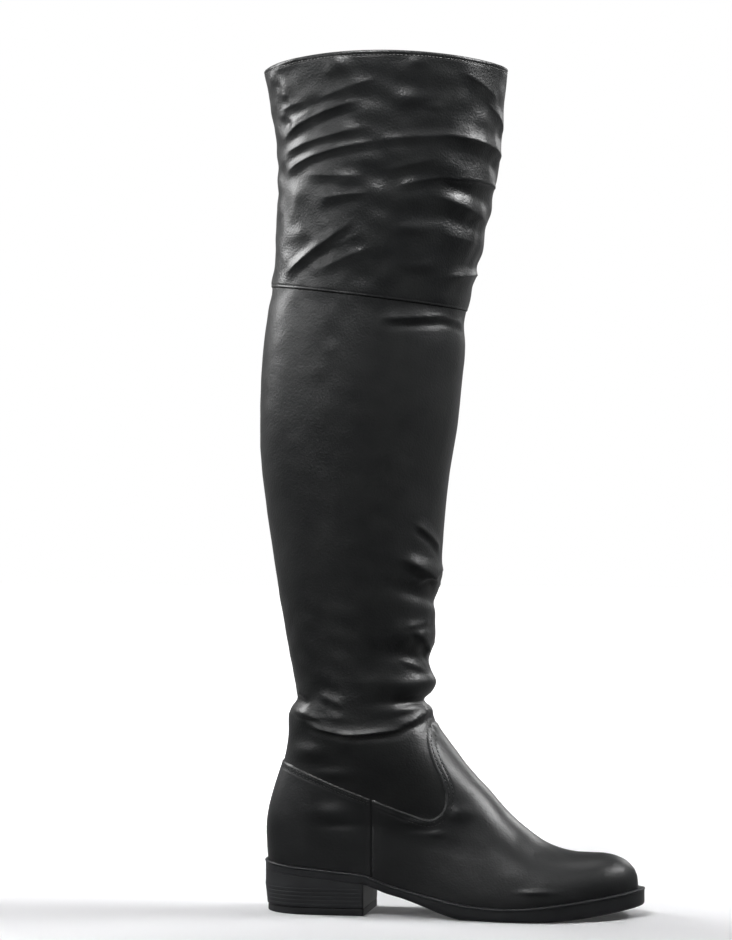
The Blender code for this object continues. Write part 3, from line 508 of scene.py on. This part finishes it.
def gridFaces(rows, columns, closed=False, inward=False):
    # quads between neighbouring grid points, facing outwards when rows go up and columns follow the angle
    index = np.arange(rows * columns).reshape(rows, columns)
    if closed:
        index = np.concatenate([index, index[:, :1]], axis=1)
    corners = [index[:-1, :-1], index[1:, :-1], index[1:, 1:], index[:-1, 1:]]
    if inward:
        corners = corners[::-1]
    return np.stack(corners, axis=-1).reshape(-1, 4)


def insideShare(points, outline):
    # signed distance of side-view points to a closed outline, positive inside by the even-odd rule
    a = np.asarray(outline, float)
    b = np.roll(a, -1, axis=0)
    nearest = np.full(len(points), np.inf)
    inside = np.zeros(len(points), bool)
    for (ax, az), (bx, bz) in zip(a, b):
        run = np.array([bx - ax, bz - az])
        t = np.clip(((points - (ax, az)) @ run) / max(run @ run, 1e-18), 0, 1)
        gapTo = points - (ax, az) - t[:, None] * run
        nearest = np.minimum(nearest, np.hypot(gapTo[:, 0], gapTo[:, 1]))
        if az != bz:
            crosses = (points[:, 1] > az) != (points[:, 1] > bz)
            inside ^= crosses & (points[:, 0] < ax + (points[:, 1] - az) * (bx - ax) / (bz - az))
    return np.where(inside, nearest, -nearest)


def curved(rows, count):
    # a Catmull-Rom curve through the points, count steps for each span
    p = np.asarray(rows, float)
    ends = np.concatenate([[2 * p[0] - p[1]], p, [2 * p[-1] - p[-2]]])
    t = np.linspace(0, 1, count, endpoint=False)[:, None]
    made = []
    for a, b, c, d in zip(ends, ends[1:], ends[2:], ends[3:]):
        made.append(0.5 * (2 * b + (c - a) * t + (2 * a - 5 * b + 4 * c - d) * t ** 2
                           + (3 * b - a - 3 * c + d) * t ** 3))
    return np.concatenate(made + [p[-1:]])


# Rows of stitches: how far inside each piece's edge, and from the zip's middle; gap is half of the gap between
# vamp and counter
seams = {"vamp": (0.002, 0.0045), "counter": (0.0018, 0.0038), "cuff": 0.0017, "collar": 0.0032, "zip": 0.0078,
         "gap": 0.0003, "steps": 8}
# Seams in the side view, as shares of the sole's length and the ankle's height
sideScale = np.array([last["length"], last["ankle"]])
vampEdge = curved(np.array([
    (0.47, 0.985), (0.444, 0.935), (0.446, 0.865), (0.462, 0.775), (0.484, 0.69), (0.496, 0.625),
    (0.494, 0.56), (0.48, 0.515), (0.452, 0.492), (0.4, 0.52),
]) * sideScale, seams["steps"])
seamTop = np.array((0.302, 0.588)) * sideScale
counterEdge = curved(np.array([
    (-0.1, 0.835), (0.045, 0.768), (0.13, 0.715), (0.228, 0.64), (0.302, 0.588),
]) * sideScale, seams["steps"])
# height, length from the back of the sole of the zip's middle
zipRun = np.array([
    (0, 0.099), (0.0359, 0.099), (0.0582, 0.0865), (0.0822, 0.0763), (0.1082, 0.0697),
    (0.137, 0.0666), (0.17, 0.067), (0.65, 0.067),
])
zipLow, zipHigh, zipHalf = 0.0359, 0.362, 0.00605


def zipPlace(z):
    # where the zip's middle runs at height z
    return smooth(zipRun, z)


def bandSide(shift, low, high, count=24):
    # points along the zip's line, moved sideways in the side view
    z = np.linspace(low, high, count)
    x = zipPlace(z)
    slope = np.gradient(x, z)
    size = np.hypot(slope, 1)
    return np.stack([x + shift / size, z - shift * slope / size], axis=-1)


# What is cut away from each panel in the side view, -1 outer and 1 inner side: past its curved edge, and past
# the seam between the two, upright outside and along the zip inside
far = 0.6
under = (0.099, zipLow - 2 * zipHalf)


def cutAway(side, edge, back, closing):
    # back is 1 for the panel before the seam and -1 for the one behind it; closing runs far outside the boot
    gap = back * seams["gap"]
    if side < 0:
        seam = [(seamTop[0] + gap, seamTop[1]), (seamTop[0] + gap, -far)]
    else:
        seam = [*bandSide(back * zipHalf, zipLow, seamTop[1])[::-1], under, (under[0] + gap, -far)]
    return np.concatenate([edge, seam, closing])


closing = [(-far, -far), (-far, far), (vampEdge[0, 0], far)]
vampOff = {side: cutAway(side, vampEdge, 1, closing) for side in (-1, 1)}
# on the inner side the counter's edge ends one span earlier, at the zip
closing = [(far, -far), (far, far), (-far, far), (-far, counterEdge[0, 1])]
counterOff = {-1: cutAway(-1, counterEdge[:-1], -1, closing),
              1: cutAway(1, counterEdge[:-1 - seams["steps"]], -1, closing)}


def edgeDistance(base, angle, off):
    # how far a wall point lies inside a panel's edge in the side view
    flat = base[..., [0, 2]].reshape(-1, 2)
    inner = (np.sin(angle) > 0).reshape(-1)
    return np.where(inner, -insideShare(flat, off[1]), -insideShare(flat, off[-1])).reshape(base.shape[:-1])


def turnedEdge(t, thick):
    # a quarter round from under the leather at t 0 up to full thickness at t 1
    return (last["tuck"] + thick) * np.sqrt(1 - (1 - np.clip(t, 0, 1)) ** 2) - last["tuck"]


def stitchDip(edge, rows, deep=0.00028, half=0.0007):
    # the leather is drawn down along each row of stitches
    return -deep * sum(np.exp(-((edge - at) / half) ** 2) for at in rows)


def footRows(count, top=1.0):
    # levels of the foot, closer together near the sole
    return np.linspace(0, top ** (2 / 3), count) ** 1.5


panel = {"edgeFrom": 0.0004, "edge": 0.0014, "hem": 0.0012}


def makePanel(name, off, v, angle, stitchRows):
    # a panel keeps the faces inside its outline and a hem past it, which dips under the leather
    v, angle = np.broadcast_arrays(v[:, None], angle[None, :])
    base = wallPoint(v, angle)
    edge = edgeDistance(base, angle, off)
    lift = turnedEdge((edge + panel["edgeFrom"]) / panel["edge"], last["panel"])
    points = skinPoint(v, angle, lift + stitchDip(edge, stitchRows))
    faces = gridFaces(*v.shape)
    faces = faces[(edge.reshape(-1)[faces] > -panel["hem"]).any(axis=1)]
    piece = makePiece(name, points, faces, panelFinish)
    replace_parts(piece, name.replace("Panel", ""))


turns = np.radians(np.linspace(60, 300, 381))
makePanel("vampPanel", vampOff, footRows(176), turns, seams["vamp"])
turns = np.radians(np.linspace(-84, 92, 380))
makePanel("counterPanel", counterOff, footRows(150, 0.92), turns, seams["counter"])


def zipAngle(v, shift):
    # the angle on the inner side at which each loop meets the zip's line moved sideways by shift
    angle, turn = np.full(np.shape(v), np.radians(88.0)), 0.002
    for _ in range(12):
        (x, z), (aheadX, aheadZ) = sideView(v, angle), sideView(v, angle + turn)
        off = x - zipPlace(z)
        slope = (aheadX - zipPlace(aheadZ) - off) / turn
        angle = angle - np.clip((off - shift) / slope, -0.25, 0.25)
    return angle


# Leg: one skin from the sole's rim to just under the cuff, with a sunk channel for the zip
leg = {"footTop": 0.84, "ankleTop": 1.07, "top": 1.008 + last["kneeSeam"], "rowsFoot": 90, "rowsAnkle": 60,
       "rowsShaft": 200, "columnsBehind": 66, "columnsAhead": 224, "channel": 0.0012, "channelHalf": 0.00555,
       "channelEdges": (0.0053, 0.0057, 0.0062, 0.0075), "underlap": 0.004}


def makeLeg():
    v = np.concatenate([footRows(leg["rowsFoot"], leg["footTop"])[:-1],
                        np.linspace(leg["footTop"], leg["ankleTop"], leg["rowsAnkle"]),
                        np.linspace(leg["ankleTop"], leg["top"], leg["rowsShaft"])[1:]])
    edges = np.array(leg["channelEdges"])
    knots = np.stack([zipAngle(v, mark) for mark in (*-edges[::-1], *edges)], axis=1)
    behind = np.linspace(0, 1, leg["columnsBehind"])[:-1]
    ahead = np.linspace(0, 1, leg["columnsAhead"])[1:-1]
    final = knots[:, -1:]
    angle = np.concatenate([knots[:, :1] * behind, knots, final + (2 * np.pi - final) * ahead], axis=1)
    v = np.broadcast_to(v[:, None], angle.shape)
    base = wallPoint(v, angle)
    z = base[..., 2]
    away = np.abs(base[..., 0] - zipPlace(z))
    inner = (np.sin(angle) > 0) & (z > zipLow)
    sunk = inner & (away < leg["channelHalf"]) & (z < zipHigh + 0.001)
    drawn = stitchDip(away, (seams["zip"],)) * (inner & (z < zipHigh))
    points = skinPoint(v, angle, drawn - leg["channel"] * sunk)
    cover = np.maximum(edgeDistance(base, angle, vampOff), edgeDistance(base, angle, counterOff))
    cover[v >= 1] = -1
    faces = gridFaces(*v.shape, closed=True)
    faces = faces[(cover.reshape(-1)[faces] < leg["underlap"]).any(axis=1)]
    piece = makePiece("legLeather", points, faces, legFinish)
    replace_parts(piece, "upper")


makeLeg()

# Cuff: lapped edge at the knee seam, skin, rolled collar and the facing inside it
cuff = {"rows": 170, "columns": 380, "roll": 0.0014, "facing": 0.02, "lap": 0.0007, "lift": 0.0007,
        "skinFrom": 0.0095, "seamDip": 0.00016, "collarDip": 0.0003}


def makeCuff():
    low, top = 1 + last["kneeSeam"], 2 - cuff["roll"] / shaftLength
    lapped = np.array([0, 0.0002, 0.0005, 0.0008, 0.0011, 0.0014, 0.0017, 0.002, 0.0023, 0.0027, 0.0034])
    v = np.concatenate([low + lapped / shaftLength, np.linspace(low + cuff["skinFrom"], top, cuff["rows"])])
    fromSeam, fromCollar = (v - low) * shaftLength, (2 - v) * shaftLength
    lift = turnedEdge(fromSeam / cuff["lap"], cuff["lift"])
    lift += stitchDip(fromSeam, (seams["cuff"],), cuff["seamDip"], 0.0006)
    lift += stitchDip(fromCollar, (seams["collar"],), cuff["collarDip"])
    # over the collar in a half round, then down inside as the facing, whose last rows turn in to the lining
    turn = np.linspace(0, np.pi, 9)[1:]
    down = np.linspace(0, cuff["facing"], 14)[1:] / shaftLength
    lift = np.concatenate([lift, cuff["lift"] - cuff["roll"] * (1 - np.cos(turn)),
                           np.full(len(down), cuff["lift"] - 2 * cuff["roll"])])
    lift[-2:] -= (0.0002, -0.0006)
    rise = np.concatenate([np.zeros(len(v)), cuff["roll"] * np.sin(turn), np.zeros(len(down))])
    v = np.concatenate([v, np.full(len(turn), top), top - down])
    points = skinPoint(v[:, None], allRound(cuff["columns"])[None, :], lift[:, None])
    points[..., 2] += rise[:, None]
    faces = gridFaces(*points.shape[:2], closed=True)
    piece = makePiece("cuffLeather", points, faces, cuffFinish)
    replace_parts(piece, "cuff")


makeCuff()

lining = {"rowsFoot": 60, "rowsShaft": 120, "columns": 150, "top": 1.965, "depth": last["wall"] + 0.0001}


def makeLining():
    v = np.concatenate([footRows(lining["rowsFoot"]), np.linspace(1, lining["top"], lining["rowsShaft"])[1:]])
    points = skinPoint(v[:, None], allRound(lining["columns"])[None, :], -lining["depth"])
    makePiece("textileLining", points, gridFaces(*points.shape[:2], True, True), liningFinish)


makeLining()

# Sole: loops round a profile, closed by loops that shrink sideways to the centre line
sole = {"columns": 420, "lip": 0.0016, "step": 0.0004, "inset": 0.0022}


def soleLoop(inset, sideShare, lowered=0.0, shrink=1.0):
    # inset from the sole's outline, share of the side's height, how far lowered, how far drawn in to the middle
    angle = allRound(sole["columns"])
    share, inner = (1 - np.cos(angle)) / 2, np.sin(angle) > 0
    # over the heel block the side runs down flush with it
    inset = np.minimum(inset, sole["step"] + 0.01 * ease((share * last["length"] - 0.072) / 0.014))
    x = inset + share * (last["length"] - 2 * inset)
    top, tread = rimHeight(x / last["length"]), treadHeight(x / last["length"])
    wide = halfWidth(share, inner, inset) * shrink
    height = tread + sideShare * (top - tread) - lowered
    return np.stack([x, centreLine(share) + np.where(inner, wide, -wide), height], axis=-1)


def makeSole():
    step, lip, inset = sole["step"], sole["lip"], sole["inset"]
    profile = [(inset + 0.0006, 0, 0, s) for s in (0, 0.25, 0.5, 0.75, 0.92)]
    profile += [(inset, 0), (inset * 0.55, 0.03), (step * 1.6, 0.09), (step, 0.15), (step, 0.4), (step, 0.7)]
    profile += [(step, 1, lip + 0.0002), (step * 0.85, 1, lip - 0.0001), (0, 1, lip - step)]
    profile += [(-0.00005, 1, lip / 2), (0, 1, step), (step * 0.3, 1, 0.0002), (step, 1), (0.003, 1, -0.0001)]
    profile += [(0.006, 1, 0, s) for s in (1, 0.8, 0.5, 0.25, 0)]
    loops = np.array([soleLoop(*row) for row in profile])
    faces = gridFaces(*loops.shape[:2], closed=True)
    piece = makePiece("soleRubber", loops, faces, soleFinish, weld=1e-6, sharp=40)
    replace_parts(piece, "outsole")


makeSole()

heel = {"taper": 0.0014, "lift": 0.0048, "liftEdge": 0.0005, "layers": 6, "groove": 0.00008,
        "grooveHalf": 0.0004, "corner": 0.0012, "bevel": 0.0003, "sidePoints": 70, "breastPoints": 22}


def heelLoop(inset, height):
    # a D: across the breast, then round the back from the outer corner to the inner one; the corners are
    # rounded by pulling in the ends
    length = last["heelLength"]
    x = inset + (length - inset) * np.sin(np.linspace(0, np.pi / 2, heel["sidePoints"])) ** 1.6
    share = np.clip((x - inset) / last["length"], 0, 1)
    near = np.sqrt(np.clip(1 - (1 - np.clip((length - x) / heel["corner"], 0, 1)) ** 2, 0, 1))
    pull = heel["corner"] * (1 - near)
    inner, outer = (np.maximum(halfWidth(share, side) - inset - pull, 0) for side in (True, False))
    x, inner, outer = x[::-1], inner[::-1], outer[::-1]
    across = np.linspace(-outer[0], inner[0], heel["breastPoints"])[1:-1]
    path = np.concatenate([np.stack([x, inner], -1), np.stack([x, -outer], -1)[::-1][1:],
                           np.stack([np.full(len(across), length), across], -1)])[::-1]
    if height is None:
        level = treadHeight(path[:, 0] / last["length"]) - 0.0002
    else:
        level = np.full(len(path), height)
    return np.column_stack([path, level])


def makeBlock(name, loops, finish):
    # the loops, closed by lids that are the end loops drawn in sideways to the centre line in four steps
    lids = [[loop * (1, s, 1) for s in (0.75, 0.5, 0.25, 0.0)] for loop in (loops[0], loops[-1])]
    loops = np.array(lids[0][::-1] + loops + lids[1])
    faces = gridFaces(*loops.shape[:2], closed=True, inward=True)
    return makePiece(name, loops, faces, finish, weld=1e-6, sharp=24)


def makeHeel():
    taper, bevel, edge, lift = heel["taper"], heel["bevel"], heel["liftEdge"], heel["lift"]
    bottom, top = lift + bevel, treadHeight(last["heelLength"] / last["length"]) - bevel
    layer = (top - bottom) / heel["layers"]
    loops = [heelLoop(taper + bevel, bottom), heelLoop(taper, bottom + bevel)]
    for n in range(1, heel["layers"]):
        inset = taper * (1 - n / heel["layers"])
        for rise, deeper in ((-1, 0), (-0.5, 0.25), (0, 1), (0.5, 0.25), (1, 0)):
            height = bottom + n * layer + rise * heel["grooveHalf"]
            loops.append(heelLoop(inset + deeper * heel["groove"], height))
    loops += [heelLoop(sole["step"], top - 0.0002), heelLoop(sole["step"], None)]
    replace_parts(makeBlock("heelStack", loops, heelFinish), "heel")
    profile = ((2 * edge, 0.0), (1.3 * edge, edge * 0.4), (edge, edge * 1.2), (edge, lift - 0.0002),
               (edge + 0.0002, lift))
    loops = [heelLoop(taper + inset, height) for inset, height in profile]
    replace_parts(makeBlock("topLift", loops, liftFinish), "top_lift")


makeHeel()


def findOnWall(x, z, side, v, angle):
    # Newton steps in the side view from a first guess of v and angle; side is 1 inner, -1 outer
    v, angle = spread(v, angle)
    v, angle = v + 0 * x, angle + 0 * x
    rise, turn, edge, flattest = 0.0008, 0.0015, 0.02, 1e-7
    low, high = (edge, np.pi - edge) if side > 0 else (np.pi + edge, 2 * np.pi - edge)
    for _ in range(25):
        here = sideView(v, angle)
        missX, missZ = x - here[0], z - here[1]
        a, c = (sideView(v + rise, angle) - here) / rise
        b, d = (sideView(v, angle + turn) - here) / turn
        det = a * d - b * c
        det = np.where(np.abs(det) < flattest, flattest, det)
        v = np.clip(v + np.clip((d * missX - b * missZ) / det, -0.08, 0.08), 0.0, 2.0)
        angle = np.clip(angle + np.clip((a * missZ - c * missX) / det, -0.2, 0.2), low, high)
    return v, angle


def guessOnWall(x, z, side):
    # the nearest place of a coarse lattice
    v, angle = np.meshgrid(np.linspace(0.02, 1.98, 120), np.radians(np.linspace(4, 176, 60)), indexing="ij")
    angle = angle if side > 0 else 2 * np.pi - angle
    wallX, wallZ = sideView(v, angle).reshape(2, -1, 1)
    best = ((wallX - x) ** 2 + (wallZ - z) ** 2).argmin(axis=0)
    return v.reshape(-1)[best], angle.reshape(-1)[best]


def placeLine(line, side):
    # v and angle of the wall places that a side-view line covers
    x, z = line[:, 0], line[:, 1]
    return findOnWall(x, z, side, *guessOnWall(x, z, side))


def runAlong(line):
    return np.concatenate([[0], np.cumsum(np.linalg.norm(np.diff(line, axis=0), axis=1))])


def evenly(line, pitch):
    # points at an even pitch along a polyline
    run = runAlong(line)
    at = np.arange(pitch / 2, run[-1], pitch)
    return np.stack([np.interp(at, run, line[:, k]) for k in range(line.shape[1])], axis=-1)


def capsules(centres, along, outward, length, thick, arch):
    # many small closed rods: loops of six points along each one's own direction, sunk at their ends by arch
    along = unit(along)
    outward = unit(outward - (outward * along).sum(1, keepdims=True) * along)
    along, outward, across = (part[:, None, None] for part in (along, outward, np.cross(along, outward)))
    place = np.array([-1, -0.82, -0.4, 0.4, 0.82, 1])[:, None, None]
    size = np.array([0.02, 0.8, 1, 1, 0.8, 0.02])[:, None, None] * thick / 2
    turn = allRound(6)[:, None]
    points = (centres[:, None, None] + along * (place * length / 2) + across * (size * np.sin(turn))
              + outward * (size * np.cos(turn) - arch * place ** 2))
    starts = np.arange(len(centres)) * len(place) * len(turn)
    faces = gridFaces(len(place), len(turn), closed=True) + starts[:, None, None]
    return points.reshape(-1, 3), faces.reshape(-1, 4)


# miss is how far off its place a stitch may be found; the edge dye, which partly paints the shade along the
# seams, is a row of touching rods in the cut edges
stitch = {"pitch": 0.0027, "length": 0.0021, "thick": 0.00055, "arch": 0.0003, "miss": 0.0004,
          "vampTop": 0.1265, "dyeShadePitch": 0.0017, "dyeShadeThick": 0.0008, "dyeShadeIn": 0.0004, "dyeShadeLift": 0.00025}


def stitchRow(v, angle, lift):
    # one thread run along a row of wall places, sitting on the panel
    centres = skinPoint(v, angle, lift)
    return centres, np.gradient(centres, axis=0), wallNormal(v, angle)


def sideLine(line, side, lift, pitch=stitch["pitch"]):
    # a row along a side-view line, without the places that the wall doesn't reach
    line = evenly(line, pitch)
    v, angle = placeLine(line, side)
    good = np.hypot(*(sideView(v, angle) - line.T)) < stitch["miss"]
    return stitchRow(v[good], angle[good], lift)


def shifted(line, amount):
    # a side-view line moved to its right-hand side
    along = unit(np.gradient(line, axis=0))
    return line + amount * np.stack([along[:, 1], -along[:, 0]], axis=1)


def loopLine(v, lift, pitch=stitch["pitch"]):
    # a row once round the wall at one level
    angle = np.linspace(0, 2 * np.pi, 1441)
    run = runAlong(wallPoint(np.full(len(angle), v), angle))
    angle = np.interp(np.arange(0, run[-1] - pitch / 2, pitch), run, angle)
    return stitchRow(np.full(len(angle), v), angle, lift)


def sewRows(name, rows, finish, thick=stitch["thick"], arch=stitch["arch"]):
    centres, along, outward = (np.concatenate(part) for part in zip(*rows))
    points, faces = capsules(centres, along, outward, stitch["length"], thick, arch)
    makePiece(name, points, faces, finish, weld=2e-5)


def counterLine(low, high, down):
    # the counter's edge between two lengths, moved down
    return counterEdge[(counterEdge[:, 0] > low) & (counterEdge[:, 0] < high)] - (0, down)


def makeStitches():
    vampLine = vampEdge[vampEdge[:, 1] < stitch["vampTop"]]
    high, dyedShade = last["panel"] - 0.00005, (stitch["dyeShadeLift"], stitch["dyeShadePitch"])
    # black rods at the knee seam and along the panels' cut edges: edge dye and painted shade under the lapped
    # edges
    rows, edges = [], [loopLine(1 + last["kneeSeam"] + 0.0001 / shaftLength, 0.0, stitch["dyeShadePitch"])]
    for side, counterTo, dyeShadeTo in ((-1, 0.079, 0.0795), (1, 0.062, 0.062)):
        rows += [sideLine(shifted(vampLine[1:-1], -inside), side, high) for inside in seams["vamp"]]
        rows += [sideLine(counterLine(0.004, counterTo, down), side, high) for down in seams["counter"]]
        edges.append(sideLine(shifted(vampLine[1:-1], -stitch["dyeShadeIn"]), side, *dyedShade))
        edges.append(sideLine(counterLine(0.003, dyeShadeTo, stitch["dyeShadeIn"]), side, *dyedShade))
    for shift in (-seams["zip"], seams["zip"]):
        rows.append(sideLine(bandSide(shift, seamTop[1] + 0.004, zipHigh, 160), 1, -0.00005))
    sewRows("threadStitches", rows, threadFinish)
    # the black edge rods: edge dye, partly painted shade along the seams
    sewRows("blackEdgeDyeAndShade", edges, dyeAndShadeFinish, stitch["dyeShadeThick"], 0.0)
    collar = loopLine(2 - seams["collar"] / shaftLength, cuff["lift"] - 0.00012)
    sewRows("collarStitches", [collar], collarThreadFinish)


makeStitches()

zipper = {"tapeHalf": 0.0056, "columns": 15, "step": 0.0012, "tapeDepth": 0.0009, "pitch": 0.0013,
          "tooth": 0.0027, "thick": 0.0011, "coilHalf": 0.00085, "coilDepth": 0.0001, "coilEnd": 0.006,
          "slant": 0.12, "arch": 0.0002}


def makeZip():
    count = int((zipHigh - zipLow) / zipper["step"])
    low, high = zipLow + 0.0005, zipHigh - 0.0003
    v, angle = placeLine(bandSide(0.0, low, high, count), 1)
    shifts = np.linspace(-zipper["tapeHalf"], zipper["tapeHalf"], zipper["columns"])
    grid = np.stack([bandSide(s, low, high, count) for s in shifts], axis=1)
    v, angle = findOnWall(grid[..., 0], grid[..., 1], 1, v[:, None], angle[:, None])
    points = skinPoint(v, angle, -zipper["tapeDepth"])
    piece = makePiece("zipTape", points, gridFaces(*v.shape), tapeFinish)
    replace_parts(piece, "zip_tape")
    # the closed coil: teeth from both sides, half a pitch apart and slanted against each other
    line = evenly(bandSide(0.0, low + 0.001, zipHigh - zipper["coilEnd"], 400), zipper["pitch"])
    centres, along, outward = stitchRow(*placeLine(line, 1), -zipper["coilDepth"])
    along = unit(along)
    across = np.cross(along, outward)
    ways = np.repeat([-1, 1], len(centres))[:, None]
    centres, along, across, outward = (np.tile(part, (2, 1)) for part in (centres, along, across, outward))
    middle = centres + across * ways * zipper["coilHalf"] + along * (zipper["pitch"] / 4) * ways
    points, faces = capsules(middle, across + along * zipper["slant"] * ways, outward, zipper["tooth"],
                             zipper["thick"], zipper["arch"])
    piece = makePiece("zipCoil", points, faces, coilFinish, weld=2e-5)
    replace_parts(piece, "zip_coil")


makeZip()

# CAD nodes that keep their shape take the finish in all of their slots
for node, finish in (("insole", insoleFinish), ("zip_slider", nickelFinish), ("zip_pull", nickelFinish)):
    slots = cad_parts[node].data.materials
    slots.clear()
    slots.append(finish)
print("pieces made")

# Camera: level, 2.2 m away, turned 10 degrees towards the toe
view = {"across": 0.034, "height": 0.308, "distance": 2.2, "turn": math.radians(10), "angle": math.radians(17)}
camera = addObject("camera", bpy.data.cameras.new("camera"))
camera.location = (view["across"] + view["distance"] * math.sin(view["turn"]),
                   -view["distance"] * math.cos(view["turn"]), view["height"])
camera.rotation_euler = (math.radians(90), 0, view["turn"])
camera.data.sensor_fit = "VERTICAL"
camera.data.angle = view["angle"]
bpy.context.scene.camera = camera

# Floor
mesh = bpy.data.meshes.new("floor")
corners = [(-6, -6, -0.0002), (6, -6, -0.0002), (6, 6, -0.0002), (-6, 6, -0.0002)]
mesh.from_pydata(corners, [], [(0, 1, 2, 3)])
floor = addObject("floor", mesh)
glowingPaper, tree, place = startMaterial("glowingWhitePaper")
# painted light: the paper glows more and more away from the boot, so that it meets the white behind it without
# a line; its weaker glow near the boot paints a soft shade round it
fromBoot = addNode(tree, "VectorMath", links={0: place["Vector"]}, operation="LENGTH").outputs["Value"]
endMaterial(glowingPaper, {"Base Color": linear("#dedee0"), "Roughness": 0.9, "Emission Color": (1, 1, 1, 1)},
            {"Emission Strength": span(tree, fromBoot, 0.04, 1.25, 0.22, 1.1)})
mesh.materials.append(glowingPaper)
floor.visible_glossy = False

# Room: white to the camera; for the boot it is brighter low down behind it and overhead
world = bpy.data.worlds.new("studio")
bpy.context.scene.world = world
world.use_nodes = True
tree = world.node_tree
tree.nodes.clear()
path = addNode(tree, "LightPath")
white = addNode(tree, "Background", {"Color": (1, 1, 1, 1)})
direction = addNode(tree, "SeparateXYZ", links={"Vector": addNode(tree, "TexCoord").outputs["Generated"]})
behind = span(tree, direction.outputs["Y"], 0.0, 0.3)
sinking = span(tree, direction.outputs["Z"], 1.0, 0.25, 0.12, 0.6)
level = addNode(tree, "Math", links={0: behind, 1: sinking}, operation="MULTIPLY")
overhead = span(tree, direction.outputs["Z"], 0.02, 0.08, 0.1, 0.9)
around = addNode(tree, "Math", links={0: level.outputs[0], 1: overhead}, operation="ADD")
room = addNode(tree, "Background", {"Color": (1, 1, 1, 1)}, {"Strength": around.outputs[0]})
both = addNode(tree, "MixShader", links={"Fac": path.outputs["Is Camera Ray"], 1: room.outputs[0],
                                         2: white.outputs[0]})
addNode(tree, "OutputWorld", links={"Surface": both.outputs[0]})

# Lights: name, place, aim, width and height in metres, watts, and how far the light fans out in degrees
softboxes = (
    ("softboxLeft", (-1.38, 0.34, 1.1), (0, 0, 0.5), 0.7, 1, 20, 180),
    ("softboxRight", (1.3, 0.22, 1.5), (0.05, 0, 0.56), 1.3, 0.9, 3.8, 38),
    ("softboxBehind", (0.75, 1.7, 0.8), (0.12, 0, 0.05), 0.5, 0.5, 0.17, 36),
    ("softboxTop", (0.1, 0.6, 2.2), (0.05, 0, 0), 1.1, 1, 6.5, 180),
    ("fillLeft", (-1.75, -1, 0.95), (0, 0, 0.47), 0.7, 0.7, 0.45, 50),
    ("fillFront", (-0.3, -1.25, 1.95), (0.03, 0, 0.57), 1.4, 0.5, 3, 24),
    ("fillFoot", (-0.75, -1.35, 0.66), (0.02, 0, 0.08), 0.3, 0.3, 0.07, 26),
)
for name, place, aim, width, height, power, spread in softboxes:
    lamp = bpy.data.lights.new(name, "AREA")
    lamp.shape = "ELLIPSE"
    lamp.size, lamp.size_y, lamp.energy, lamp.spread = width, height, power, math.radians(spread)
    made = addObject(name, lamp)
    made.location = place
    made.visible_camera = False
    x, y, z = unit(np.array(aim) - np.array(place))
    made.rotation_euler = (math.acos(-z), 0, math.atan2(y, x) - math.pi / 2)
bpy.context.scene.view_settings.view_transform = "Standard"
